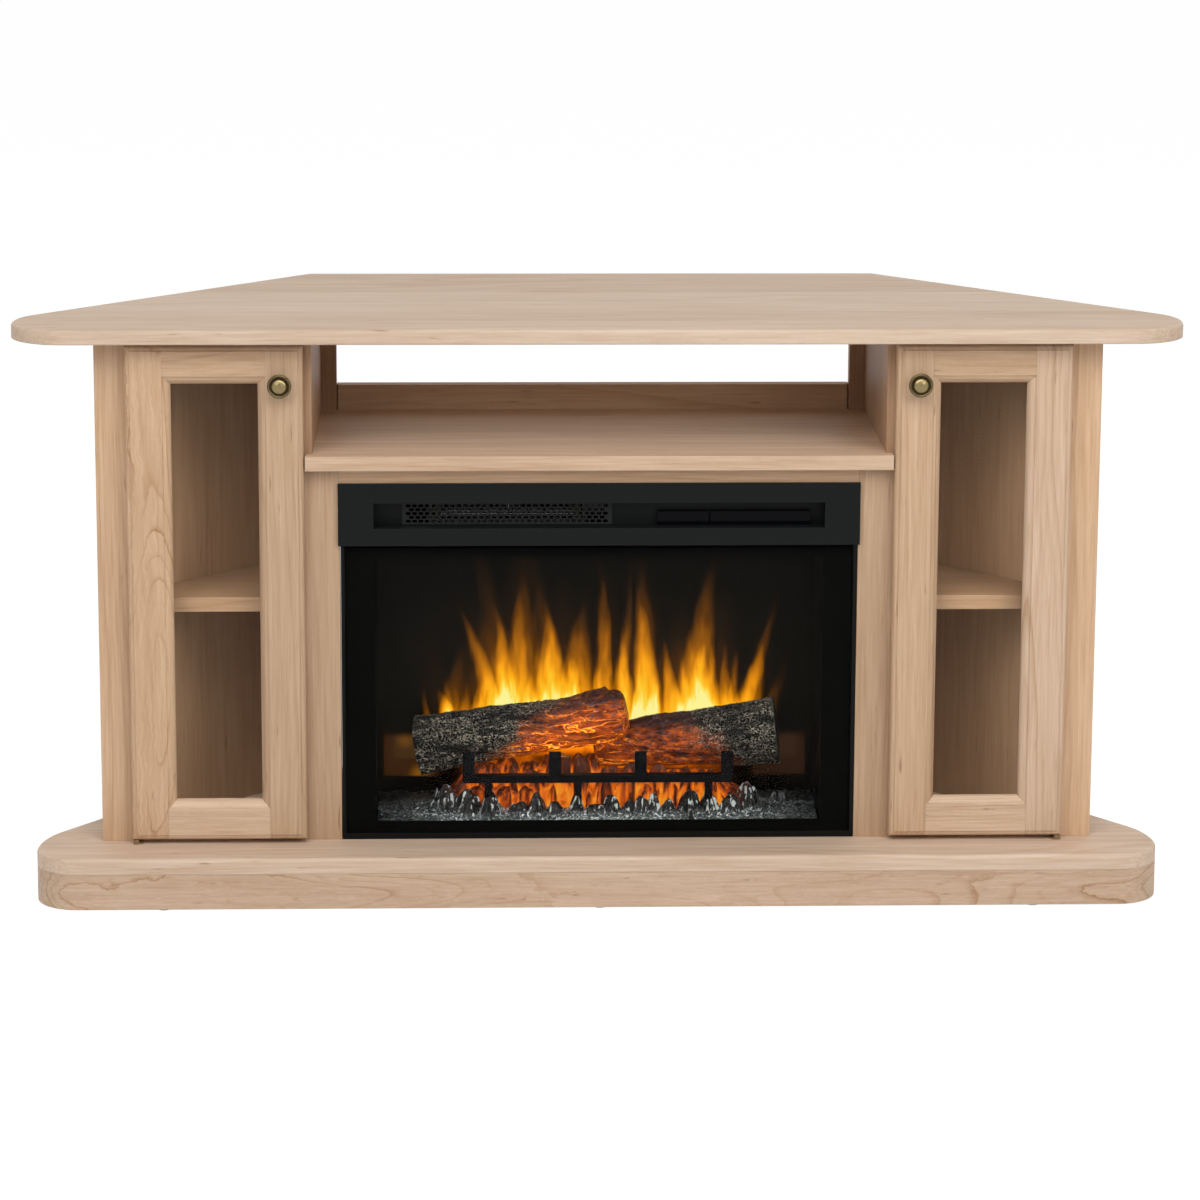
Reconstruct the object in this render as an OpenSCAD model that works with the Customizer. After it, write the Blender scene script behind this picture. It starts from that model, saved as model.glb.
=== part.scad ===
// Corner fireplace cabinet: a wide top board and a hearth over a maple carcass with
// a media shelf, two glazed side doors and an electric log fire in the middle bay.
// Millimetres. +Z is up, the front looks towards -Y, and the origin is the middle of
// the footprint on the floor. Most pieces are drawn from the front plane of the face
// frame (y = 0) and moved back by at_face().

/* [Top board] */
// Full width of the top board over its rounded front corners
top_width = 1500; // [1350:1:1650]
// Height of the top surface above the floor
top_height = 750; // [700:1:820]
// Thickness of the top board
top_thickness = 19; // [16:0.5:30]
// Reach of the top board ahead of the face frame
top_front = 46; // [25:1:80]
// Distance of the top board's back edge behind the face frame
top_back = 412; // [370:1:460]
// Plan radius of the two front corners
top_corner_r = 72; // [40:1:100]
// Radius of the worked upper edge on the top board and the hearth
edge_r = 5; // [2:0.5:8]

/* [Hearth] */
// Full width of the hearth board
hearth_width = 1452; // [1300:1:1600]
// Reach of the hearth ahead of the face frame
hearth_front = 81; // [50:1:120]
// Distance of the hearth's back edge behind the face frame
hearth_back = 330; // [310:1:380]
// Height of the hearth's upper surface
hearth_height = 69; // [55:1:100]
// Thickness of the hearth board
hearth_thickness = 21; // [18:0.5:30]
// Plan radius of the hearth's front corners
hearth_corner_r = 56; // [40:1:80]
// Larger plan radius that carries the corner on into the side
hearth_side_r = 110; // [80:1:140]
// Angle between the hearth's sides and the depth direction
hearth_side_angle = 38.5; // [30:0.5:45]
// Thickness of the skirt under the hearth board
skirt_thickness = 19; // [15:0.5:25]
// Gap between the skirt and the floor, kept by the glides
floor_gap = 2; // [1:0.5:4]

/* [Cabinet] */
// Width over the outer edges of the face frame
body_width = 1288; // [1200:1:1400]
// Thickness of the carcass boards
board = 19; // [16:0.5:22]
// Depth of the square return behind each outer stile
return_depth = 44; // [30:1:60]
// Depth of the partitions behind the face
body_back = 306; // [290:1:330]
// Width of an outer stile
stile_width = 60; // [50:1:70]
// Clear width between the two partitions
bay_width = 736; // [700:1:760]
// Clear width of the opening for the fire
opening_width = 667; // [650:1:680]
// Underside of the rail over the fire
opening_top = 540.5; // [500:0.5:560]
// Height of the media shelf's upper surface
media_height = 581.5; // [560:0.5:600]
// Reach of the media shelf's nosing ahead of the face frame
nosing_reach = 18; // [10:0.5:25]
// Front face of the two back posts
post_front = 287.5; // [270:0.5:300]
// Visible width of a back post
post_width = 20.5; // [15:0.5:30]
// Height of the back rail above the media shelf
back_rail_height = 34; // [25:1:60]
// Underside of the shelves behind the doors
side_shelf_z = 368.4; // [250:0.2:500]

/* [Doors] */
// Width of each door
door_width = 226; // [200:1:250]
// Lower edge of the doors
door_bottom = 75; // [73:0.5:80]
// Upper edge of the doors
door_top = 725; // [690:0.5:727]
// Thickness of the doors
door_thickness = 18; // [16:0.5:22]
// Gap between the back of a closed door and the face frame
door_gap = 2; // [1.5:0.1:3]
// Edge of each door nearest the middle, from the centre line
door_inner = 378; // [370:0.5:390]
// Flat width of the door stiles
stile_flat = 47.5; // [40:0.5:60]
// Flat width of the lower door rail
low_rail_flat = 42.5; // [35:0.5:60]
// Flat width of the upper door rail
top_rail_flat = 39.5; // [30:0.5:60]
// Width of the moulded edge round the glass
moulding = 10.3; // [6:0.1:14]
// Distance of the pivot pins from the door's outer edge
pivot_inset = 5; // [4:0.5:8]
// Height of the door knobs
knob_z = 676; // [600:1:690]

/* [Fire] */
// Width of the hood panel
hood_width = 671; // [660:1:680]
// Lower edge of the hood panel
hood_low = 461.5; // [440:0.5:480]
// Upper edge of the hood panel
hood_high = 543; // [541:0.5:560]
// Half width of the slot in the hood panel
slot_half = 290; // [270:1:300]
// Lower edge of the slot
slot_low = 484.4; // [470:0.2:490]
// Upper edge of the slot
slot_high = 517.3; // [505:0.1:530]
// Half width of the clear view through the front glass
view_half = 289; // [270:1:300]
// Lower edge of the clear view
view_low = 92; // [85:0.5:110]
// Upper edge of the clear view
view_high = 443.5; // [420:0.5:450]
// Front face of the screen the flames play on
screen_y = 134; // [110:1:160]

/* [Shown piece] */
// Name of one piece, or all

/* [Hidden] */
$fn = 48;
// Middle of the footprint to the front plane of the face frame
face_y = -(top_back - hearth_front) / 2;
carcass_top = top_height - top_thickness;
half_body = body_width / 2;
half_bay = bay_width / 2;
half_open = opening_width / 2;
media_low = media_height - board;
rail_front = post_front + 9.5;
nosing_ear = 8.5;
// Plan lines |x| + y = const of the slanted walls
wall_out = half_body + return_depth;
wall_in = wall_out - board * sqrt(2);
// Door planes and pivot
door_back_y = -door_gap;
door_front_y = -door_gap - door_thickness;
door_outer = door_inner + door_width;
pivot_x = door_outer - pivot_inset;
pivot_y = -door_gap - door_thickness / 2;
pin_r = 2;
glass_v = 12;

maple = [0.85, 0.72, 0.58];
maple_dark = [0.62, 0.48, 0.36];
black = [0.10, 0.10, 0.11];
steel = [0.62, 0.62, 0.64];

// ---- helpers ----

module at_face() translate([0, face_y, 0]) children();
module left() mirror([1, 0, 0]) children();
module both() { children(); mirror([1, 0, 0]) children(); }

module box(x0, x1, y0, y1, z0, z1)
    translate([x0, y0, z0]) cube([x1 - x0, y1 - y0, z1 - z0]);

// Plan of a board drawn in by d: the arcs of the right front corner, each as [centre x,
// centre y, radius, start angle, end angle], then the slanted side, the back and the left
function board_plan(arcs, back, d) = let(
    bend = [for (k = [0:len(arcs) - 1]) let(a = arcs[k], n = ceil((a[4] - a[3]) / 5))
        for (i = [min(k, 1):n]) let(t = a[3] + (a[4] - a[3]) * i / n)
        [a[0] + (a[2] - d) * cos(t), a[1] + (a[2] - d) * sin(t)]],
    end = bend[len(bend) - 1],
    side = concat(bend, [[end[0] - (back - end[1]) * tan(arcs[len(arcs) - 1][4]), back]]))
    concat(side, [for (i = [len(side) - 1:-1:0]) [-side[i][0], side[i][1]]]);

// A board of that plan, t thick, with its upper edge rounded over with radius r. It is
// stacked from plans a little past both faces and then cut flat
module round_over_board(arcs, back, t, r, steps = 6) {
    layers = concat([[-1, 0]],
        [for (i = [0:steps]) [t - r + r * sin(90 * i / steps), r - r * cos(90 * i / steps)]],
        [[t + 1, r]]);
    plans = [for (l = layers) [for (p = board_plan(arcs, back, l[1])) [p[0], p[1], l[0]]]];
    n = len(plans[0]);
    top = len(plans) - 1;
    intersection() {
        polyhedron([for (plan = plans, p = plan) p], concat(
            [[for (j = [0:n - 1]) j]],
            [[for (j = [n - 1:-1:0]) top * n + j]],
            [for (k = [0:top - 1], j = [0:n - 1]) let(m = (j + 1) % n)
                [k * n + j, (k + 1) * n + j, (k + 1) * n + m, k * n + m]]));
        box(-1000, 1000, -1000, 1000, 0, t);
    }
}

module ring(r, w, h, a0, a1)
    rotate([0, 0, a0]) rotate_extrude(angle = a1 - a0, $fn = 96)
        translate([r - w, 0]) square([w, h]);

// ---- top board and hearth ----

module top_board() color(maple) at_face() translate([0, 0, carcass_top])
    round_over_board([[top_width / 2 - top_corner_r, top_corner_r - top_front, top_corner_r, -90, 45]],
        top_back, top_thickness, edge_r);

// Centres of the two arcs of a hearth corner
hx = hearth_width / 2 - hearth_corner_r;
hx2 = hearth_width / 2 - hearth_side_r;
hy = hearth_corner_r - hearth_front;

module hearth_board() color(maple) at_face() translate([0, 0, hearth_height - hearth_thickness])
    round_over_board([[hx, hy, hearth_corner_r, -90, 0],
        [hx2, hy, hearth_side_r, 0, hearth_side_angle]],
        hearth_back, hearth_thickness, edge_r);

skirt_h = hearth_height - hearth_thickness - floor_gap;
glide_spots = [[-560, -hearth_front + skirt_thickness / 2], [0, -hearth_front + skirt_thickness / 2],
    [560, -hearth_front + skirt_thickness / 2], [-380, hearth_back - skirt_thickness / 2],
    [0, hearth_back - skirt_thickness / 2], [380, hearth_back - skirt_thickness / 2]];

module glide_bores() for (p = glide_spots)
    translate([p[0], p[1], floor_gap - 1]) cylinder(r = 1.5, h = 13);

// One bent piece: the straight front and both rounded corners
module skirt_front() color(maple) at_face() difference() {
    translate([0, 0, floor_gap]) {
        box(-hx, hx, -hearth_front, -hearth_front + skirt_thickness, 0, skirt_h);
        both() {
            translate([hx, hy, 0]) ring(hearth_corner_r, skirt_thickness, skirt_h, -90, 0);
            translate([hx2, hy, 0])
                ring(hearth_side_r, skirt_thickness, skirt_h, 0, hearth_side_angle);
        }
    }
    glide_bores();
}

module skirt_sides() color(maple) at_face() both() difference() {
    translate([hx2, hy, floor_gap]) rotate([0, 0, 90 + hearth_side_angle])
        box(0, 520, -hearth_side_r, -hearth_side_r + skirt_thickness, 0, skirt_h);
    box(0, 1000, hearth_back, hearth_back + 400, -5, 100);
}

// x of a side skirt's inner face at depth y
function skirt_in_x(y) = hx2 + (hearth_side_r - skirt_thickness) * cos(hearth_side_angle)
    - (y - hy - (hearth_side_r - skirt_thickness) * sin(hearth_side_angle)) * tan(hearth_side_angle);

module skirt_back() color(maple_dark) at_face() difference() {
    y0 = hearth_back - skirt_thickness;
    translate([0, 0, floor_gap]) linear_extrude(skirt_h)
        polygon([[-skirt_in_x(y0), y0], [skirt_in_x(y0), y0],
            [skirt_in_x(hearth_back), hearth_back], [-skirt_in_x(hearth_back), hearth_back]]);
    glide_bores();
}

// Six identical nail-on glides
module glides() color([0.25, 0.25, 0.25]) at_face() for (p = glide_spots)
    translate([p[0], p[1], 0]) {
        cylinder(r1 = 7, r2 = 8, h = floor_gap);
        cylinder(r = 1.5, h = floor_gap + 10);
    }

// ---- face frame and carcass ----

module leaf_slot(grow = 0)
    for (z = [hearth_height, carcass_top - 2])
        box(pivot_x - 8 - grow, pivot_x + 4 + grow, -30, 15, z, z + 2);

module outer_stile() difference() {
    box(half_body - stile_width, half_body, 0, board, hearth_height, carcass_top);
    leaf_slot();
}
module outer_stile_left() color(maple) at_face() left() outer_stile();
module outer_stile_right() color(maple) at_face() outer_stile();

module inner_stile() box(half_open, half_bay + 24, 0, board, hearth_height, media_low);
module inner_stile_left() color(maple) at_face() left() inner_stile();
module inner_stile_right() color(maple) at_face() inner_stile();

module fire_rail() color(maple) at_face()
    box(-half_open, half_open, 0, board, opening_top, media_low);

module door_headers() color(maple) at_face() both()
    box(half_bay + board, half_body - stile_width, 0, board, carcass_top - 40, carcass_top);

pin_z = side_shelf_z - 2.5;
wall_pin_x = [590, 440];
face_pin_y = [60, 235];

// Shelf pins of one side, with their bores when grow is given
module pins(grow = 0) {
    for (y = face_pin_y)
        translate([half_bay + board - 8, y, pin_z]) rotate([0, 90, 0]) cylinder(r = 2.5, h = 14 + grow);
    for (x = wall_pin_x)
        translate([x + 8 / sqrt(2), wall_in - x + 8 / sqrt(2), pin_z])
            rotate([0, -90, 45]) cylinder(r = 2.5, h = 14 + grow);
}

module partition() difference() {
    union() {
        box(half_bay, half_bay + board, board, body_back, hearth_height, carcass_top);
        box(half_bay, half_bay + board, 0, board, media_low, carcass_top);
    }
    pins();
}
module partition_left() color(maple_dark) at_face() left() partition();
module partition_right() color(maple_dark) at_face() partition();

// Inner corner between a square return and its slanted wall
corner_y = wall_in - (half_body - board);

module side_returns() color(maple) at_face() both()
    translate([0, 0, hearth_height]) linear_extrude(carcass_top - hearth_height)
        polygon([[half_body - board, board], [half_body, board],
            [half_body, return_depth], [half_body - board, corner_y]]);

module side_wall() difference() {
    x0 = half_bay + board;
    translate([0, 0, hearth_height]) linear_extrude(carcass_top - hearth_height)
        polygon([[half_body, return_depth], [x0, wall_out - x0],
            [x0, wall_in - x0], [half_body - board, corner_y]]);
    pins();
}
module side_wall_left() color(maple_dark) at_face() left() side_wall();
module side_wall_right() color(maple_dark) at_face() side_wall();

// The nosing has ears over the stiles, and the back corners are notched for the posts
module media_shelf() color(maple) at_face()
    translate([0, 0, media_low]) linear_extrude(board) for (s = [-1, 1])
        polygon([[0, -nosing_reach], [s * (half_bay + nosing_ear), -nosing_reach],
            [s * (half_bay + nosing_ear), 0], [s * half_bay, 0], [s * half_bay, post_front],
            [s * (half_bay - post_width), post_front], [s * (half_bay - post_width), rail_front],
            [0, rail_front]]);

module back_posts() color(maple_dark) at_face() both()
    box(half_bay - post_width, half_bay, post_front, post_front + board, hearth_height, carcass_top);

// The rail covers the shelf's back edge and stands above it. Its ends are rebated, which
// leaves a fine groove beside each post
module back_rail() color(maple_dark) at_face() {
    w = half_bay - post_width;
    box(1.5 - w, w - 1.5, rail_front, rail_front + board, media_low, media_height + back_rail_height);
    box(-w, w, rail_front + 5, rail_front + board, media_low, media_height + back_rail_height);
}

module side_shelf() {
    x0 = half_bay + board + 1;
    x1 = half_body - board - 1;
    translate([0, 0, side_shelf_z]) linear_extrude(board)
        polygon([[x0, 25], [x1, 25], [x1, wall_in - 2 - x1], [x0, wall_in - 2 - x0]]);
}
module shelf_left() color(maple) at_face() left() side_shelf();
module shelf_right() color(maple) at_face() side_shelf();

module shelf_pins() color(steel) at_face() both() pins();

// Four identical pivot leaves: a plate let into the stile, a collar and the pin
module leaf() {
    translate([0, 0, 1]) box(-8, 4, 0, 15 - pivot_y, -1, 1);
    difference() {
        cylinder(r = 8.5, h = 2);
        box(4, 20, -20, 20, -1, 3);
    }
    cylinder(r = 4, h = 5);
    cylinder(r = pin_r, h = 18);
}
module pivot_leaves() color(steel) at_face() both() {
    translate([pivot_x, pivot_y, hearth_height]) leaf();
    translate([pivot_x, pivot_y, carcass_top]) mirror([0, 0, 1]) leaf();
}

// ---- doors, drawn for the right side ----

// Worked outer edge of a door as [distance from the edge, depth from the front]
edge_cut = concat([[-2, -2], [6.5, -2], [6.5, 1.2]],
    [for (i = [0:6]) [5 - 5 * sin(15 * i), 6.2 - 5 * cos(15 * i)]], [[-2, 6.2]]);
// Moulding round the glass as [distance from the flat, depth from the front]
stick = [[0, 1.3], [2.2, 1.6], [4.4, 2.5], [6.4, 3.9], [8.2, 5.8], [9.5, 7.7],
    [moulding, 9.6], [moulding, glass_v], [0, glass_v]];

lo_z = door_bottom + low_rail_flat;
hi_z = door_top - top_rail_flat;
in_x = door_inner + stile_flat;
out_x = door_outer - stile_flat;

module upright_prism(pts, z0, z1) translate([0, 0, z0]) linear_extrude(z1 - z0) polygon(pts);
module level_prism(pts, x0, x1)
    translate([x0, 0, 0]) rotate([90, 0, 90]) linear_extrude(x1 - x0) polygon(pts);
// Extruded along Y through the door, from a front view drawn as [x, z]
module through(pts) translate([0, door_back_y + 5, 0])
    rotate([90, 0, 0]) linear_extrude(door_thickness + 10) polygon(pts);

module cut_upright(x, s) upright_prism(
    [for (p = edge_cut) [x + s * p[0], door_front_y + p[1]]], door_bottom - 3, door_top + 3);
module cut_level(z, s) level_prism(
    [for (p = edge_cut) [door_front_y + p[1], z + s * p[0]]], door_inner - 3, door_outer + 3);

module stile_edges() { cut_level(door_bottom, 1); cut_level(door_top, -1); }

// Moulding on a stile, mitred at both ends; s points towards the glass
module stile_moulding(x, s) intersection() {
    upright_prism([for (p = stick) [x + s * p[0], door_front_y + p[1]]], lo_z, hi_z);
    through([[x, lo_z], [x + s * moulding, lo_z + moulding],
        [x + s * moulding, hi_z - moulding], [x, hi_z]]);
}
module rail_moulding(z, s) intersection() {
    level_prism([for (p = stick) [door_front_y + p[1], z + s * p[0]]], in_x, out_x);
    through([[in_x, z], [in_x + moulding, z + s * moulding],
        [out_x - moulding, z + s * moulding], [out_x, z]]);
}

module hinge_stile() {
    difference() {
        box(out_x, door_outer, door_front_y, door_back_y, door_bottom, door_top);
        cut_upright(door_outer, -1);
        stile_edges();
        for (z = [door_bottom - 1, door_top - 13])
            translate([pivot_x, pivot_y, z]) cylinder(r = pin_r + 0.1, h = 14);
    }
    stile_moulding(out_x, -1);
}
module knob_stile() {
    difference() {
        box(door_inner, in_x, door_front_y, door_back_y, door_bottom, door_top);
        cut_upright(door_inner, 1);
        stile_edges();
        translate([knob_x, door_front_y + 16, knob_z]) rotate([90, 0, 0]) cylinder(r = 2, h = 20);
    }
    stile_moulding(in_x, 1);
}
module upper_rail() {
    difference() {
        box(in_x, out_x, door_front_y, door_back_y, hi_z, door_top);
        cut_level(door_top, -1);
    }
    rail_moulding(hi_z, -1);
}
module lower_rail() {
    difference() {
        box(in_x, out_x, door_front_y, door_back_y, door_bottom, lo_z);
        cut_level(door_bottom, 1);
    }
    rail_moulding(lo_z, 1);
}
module pane() box(in_x + 0.8, out_x - 0.8, door_front_y + glass_v, door_front_y + glass_v + 3,
    lo_z + 0.8, hi_z - 0.8);
module glass_stops() difference() {
    box(in_x, out_x, door_front_y + glass_v + 3, door_back_y, lo_z, hi_z);
    box(in_x + 9, out_x - 9, door_front_y, 5, lo_z + 9, hi_z - 9);
}
knob_x = door_inner + 29;
// Turned knob: foot, neck, rim, groove and dome
module knob() translate([knob_x, door_front_y, knob_z]) rotate([90, 0, 0]) rotate_extrude()
    polygon([[0, -16], [2, -16], [2, 0], [8, 0], [8, 1.6], [6.2, 3], [5.6, 6], [6, 9.5],
        [9, 12.2], [13.8, 13.8], [15.2, 15], [15.5, 16.4], [15.1, 17.8], [14.1, 18.6],
        [13, 18.7], [12.3, 18.2], [11.8, 17], [10.7, 16.8], [10.2, 17.4], [9.8, 18.8],
        [8.6, 20.3], [6.6, 21.6], [3.8, 22.5], [0, 22.9]]);

module hinge_stile_left() color(maple) at_face() left() hinge_stile();
module hinge_stile_right() color(maple) at_face() hinge_stile();
module knob_stile_left() color(maple) at_face() left() knob_stile();
module knob_stile_right() color(maple) at_face() knob_stile();
module upper_rail_left() color(maple) at_face() left() upper_rail();
module upper_rail_right() color(maple) at_face() upper_rail();
module lower_rail_left() color(maple) at_face() left() lower_rail();
module lower_rail_right() color(maple) at_face() lower_rail();
module glass_left() color([0.7, 0.8, 0.8, 0.4]) at_face() left() pane();
module glass_right() color([0.7, 0.8, 0.8, 0.4]) at_face() pane();
module glass_stops_left() color(maple) at_face() left() glass_stops();
module glass_stops_right() color(maple) at_face() glass_stops();
module knob_left() color([0.35, 0.26, 0.14]) at_face() left() knob();
module knob_right() color([0.35, 0.26, 0.14]) at_face() knob();

// ---- fire: shell, hood and heater ----

shell_half = 330;
shell_front = 8;
shell_back = 214;
gland_x = 250;
gland_z = 112;

shell_top = 539.5;
sheet = 1.5;
seam = 0.2;

// Five sheet panels with narrow seams: a slotted back, two sides, a top and a bottom
module fire_shell() color(black) at_face() {
    panel_y = shell_back - sheet - seam;
    difference() {
        box(-shell_half, shell_half, shell_back - sheet, shell_back, hearth_height, shell_top);
        for (i = [-4:4], z = [486, 498, 510, 522])
            box(i * 62 - 22, i * 62 + 22, shell_back - 5, shell_back + 5, z, z + 5);
        for (i = [-2:2], z = [90, 102])
            box(i * 62 - 22, i * 62 + 22, shell_back - 5, shell_back + 5, z, z + 5);
        translate([gland_x, shell_back + 5, gland_z]) rotate([90, 0, 0]) cylinder(r = 7, h = 12);
    }
    both() box(shell_half - sheet, shell_half, shell_front, panel_y, hearth_height, shell_top);
    for (z = [hearth_height, shell_top - sheet])
        box(sheet + seam - shell_half, shell_half - sheet - seam, shell_front, panel_y, z, z + sheet);
}

hood_y = -5;
module hood_panel() color(black) at_face() difference() {
    box(-hood_width / 2, hood_width / 2, hood_y, 0, hood_low, hood_high);
    box(-slot_half, slot_half, hood_y - 5, 5, slot_low, slot_high);
    // Hollow back, so that the front reads as folded sheet with a lip round the slot
    difference() {
        box(2 - hood_width / 2, hood_width / 2 - 2, hood_y + 1.8, 5, hood_low + 2, hood_high - 2);
        box(-slot_half - 8, slot_half + 8, -20, 20, slot_low - 6, slot_high + 6);
    }
}

rec_back = 24;
grille_x0 = -254;
grille_x1 = 17;
module hood_recess() color(black) at_face() difference() {
    box(-slot_half - 2, slot_half + 2, 0, rec_back, slot_low - 2, slot_high + 2);
    box(-slot_half - 0.5, slot_half + 0.5, -5, rec_back - 1.5, slot_low - 0.5, slot_high + 0.5);
    box(grille_x0 + 3, grille_x1 - 3, 0, rec_back + 5, slot_low + 1.5, slot_high - 1.5);
}

// Pressed sheet with flattened six-sided holes in staggered rows
hole = [[3.5, 0], [1.9, 2], [-1.9, 2], [-3.5, 0], [-1.9, -2], [1.9, -2]];
module heater_grille() color([0.16, 0.16, 0.15]) at_face()
    translate([0, rec_back - 1.5, 0]) rotate([90, 0, 0]) linear_extrude(1) difference() {
        translate([grille_x0, slot_low - 0.4])
            square([grille_x1 - grille_x0, slot_high - slot_low + 0.8]);
        for (r = [0:5], c = [0:31])
            if (r % 2 == 0 || c < 31)
                translate([grille_x0 + 8 + c * 8.2 + (r % 2) * 4.1, slot_low + 3.6 + r * 5.14])
                    polygon(hole);
    }

// Finned heating bar between two end blocks
module heater_element() color([0.55, 0.50, 0.42]) at_face() {
    for (x = [-212, -32]) box(x, x + 8, 30, 44, 489, 514);
    box(-204, -32, 36, 38, 491, 494);
    box(-204, -32, 36, 38, 509, 512);
    for (i = [0:28]) box(-202 + i * 6, -201 + i * 6, 33, 41, 490.5, 512.5);
}

module display_windows() color([0.03, 0.03, 0.04]) at_face() {
    box(74.8, 141.4, 15, rec_back - 1.5, slot_low - 0.5, 502);
    box(143.7, 273.3, 15, rec_back - 1.5, slot_low - 0.5, 502);
}

// ---- fire: glazed front and chamber ----

pane_low = hearth_height + 8;
pane_high = 460;
pane_half = 328;

module front_glass() color([0.2, 0.2, 0.2, 0.4]) at_face()
    box(-pane_half, pane_half, 1, 5, pane_low, pane_high);

module glass_border() color([0.05, 0.05, 0.05]) at_face() difference() {
    box(-pane_half, pane_half, 5, 6, pane_low, pane_high);
    box(-view_half, view_half, 0, 10, view_low, view_high);
}

// Slim angle down both sides and under the glass
module front_trim() color(black) at_face() difference() {
    box(-332.5, 332.5, 0, shell_front, hearth_height, hood_low);
    box(-pane_half, pane_half, -5, 20, pane_low, hood_low + 5);
}

liner_low = hearth_height + 9;
liner_high = 453;
module chamber_liner() color(black) at_face() difference() {
    box(-view_half - 3, view_half + 3, shell_front, screen_y + 3, liner_low, liner_high);
    box(-view_half - 1, view_half + 1, 0, screen_y + 10, liner_low + 1.5, liner_high - 1.5);
}

module rear_screen() color([0.15, 0.08, 0.04]) at_face()
    box(-view_half - 1, view_half + 1, screen_y, screen_y + 3, liner_low + 1.5, liner_high - 1.5);

// A rough log: rings of points on a bent, tapering centre line. The outer end is sawn
// flat, the inner end is worn round
function log_r(t, a, r0, r1, k) = (r0 + (r1 - r0) * t)
    * (1 + 0.035 * sin(2 * a + 200 * t + k) + 0.03 * sin(5 * a - 210 * t + 2 * k)
        + 0.02 * sin(8 * a + 240 * t) + 0.015 * sin(900 * t + 3 * k));
function log_points(len, r0, r1, bend, k, nt, na) = concat(
    [for (i = [0:nt], j = [0:na - 1]) let(t = i / nt, a = 360 * j / na,
        r = log_r(t, a, r0, r1, k) * (i == nt ? 0.72 : i == nt - 1 ? 0.94 : 1))
        [len * t, r * cos(a) + bend * sin(180 * t), r * sin(a) + 0.5 * bend * sin(360 * t)]],
    [[0, 0, 0], [len + 2, 0, 0]]);
function log_faces(nt, na) = concat(
    [for (i = [0:nt - 1], j = [0:na - 1]) [i * na + j, i * na + (j + 1) % na, (i + 1) * na + j]],
    [for (i = [0:nt - 1], j = [0:na - 1])
        [i * na + (j + 1) % na, (i + 1) * na + (j + 1) % na, (i + 1) * na + j]],
    [for (j = [0:na - 1]) [(nt + 1) * na, (j + 1) % na, j]],
    [for (j = [0:na - 1]) [(nt + 1) * na + 1, nt * na + j, nt * na + (j + 1) % na]]);
module log_piece(from, to, r0, r1, bend, k, nt = 26, na = 28) {
    d = to - from;
    len = norm(d);
    translate(from) rotate([0, -asin(d[2] / len), atan2(d[1], d[0])])
        polyhedron(log_points(len, r0, r1, bend, k, nt, na), log_faces(nt, na));
}
// Round foot under a log, hidden behind the embers it stands on
module log_foot(x, y, low, high) translate([x, y, low]) cylinder(r = 4.5, h = high - low, $fn = 12);

heap_ledge = 118;
heap_seat = 160;
module log_left() color([0.30, 0.12, 0.06]) at_face() {
    log_piece([-235, 86, 170], [38, 57, 222.5], 38, 31.5, 2, 20);
    log_foot(-150, 88, heap_ledge, 163);
    log_foot(-49, 72, heap_seat, 182);
}
module log_right() color([0.30, 0.12, 0.06]) at_face() {
    log_piece([238, 82, 192], [-2, 102, 162], 45, 25, -2, 75);
    log_foot(150, 94, heap_ledge, 156);
    log_foot(52, 97, heap_ledge, 150);
}

// Front bar on three legs, with four uprights whose tops lean back towards the logs
grate_y = 20;
grate_legs = [-143, -26, 145];
module grate() color([0.06, 0.05, 0.05]) at_face() {
    box(-176.5, 176.5, grate_y + 3, grate_y + 15, 137, 147);
    for (x = [-169, -56, 56, 169])
        level_prism([[grate_y, 141], [grate_y, 170.5], [grate_y + 8.5, 178], [grate_y + 10.4, 175.8],
            [grate_y + 3.2, 169], [grate_y + 3.2, 141]], x - 7.8, x + 7.8);
    for (x = grate_legs) box(x - 5, x + 5, grate_y + 4, grate_y + 8, bed_pad, 138);
}

// ---- fire: bed, flicker drive, blower, inlet ----

// Solid from z0 up to a grid of heights over columns xs and rows ys
module relief(xs, ys, z0, heights) {
    nx = len(xs);
    ny = len(ys);
    c = nx * ny;
    // Outline of the grid, counterclockwise from above
    rim = concat([for (i = [0:nx - 2]) i], [for (j = [0:ny - 2]) j * nx + nx - 1],
        [for (i = [nx - 1:-1:1]) (ny - 1) * nx + i], [for (j = [ny - 1:-1:1]) j * nx]);
    m = len(rim);
    top = [for (j = [0:ny - 1], i = [0:nx - 1]) [xs[i], ys[j], heights[j][i]]];
    middle = [(xs[0] + xs[nx - 1]) / 2, (ys[0] + ys[ny - 1]) / 2, z0];
    polyhedron(concat(top, [for (r = rim) [top[r][0], top[r][1], z0]], [middle]),
        concat([for (j = [0:ny - 2], i = [0:nx - 2]) let(a = j * nx + i) [a, a + nx, a + nx + 1]],
            [for (j = [0:ny - 2], i = [0:nx - 2]) let(a = j * nx + i) [a, a + nx + 1, a + 1]],
            [for (k = [0:m - 1]) let(n = (k + 1) % m) [rim[k], rim[n], c + n]],
            [for (k = [0:m - 1]) [rim[k], c + (k + 1) % m, c + k]],
            [for (k = [0:m - 1]) [c + m, c + k, c + (k + 1) % m]]));
}
// Highest of a set of cones, each [x, depth, height, radius]
function peak(p, x, y) = p[2] * max(0, 1 - norm([x - p[0], y - p[1]]) / p[3]);
function peaks(set, x, y) = max([for (p = set) peak(p, x, y)]);

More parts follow.
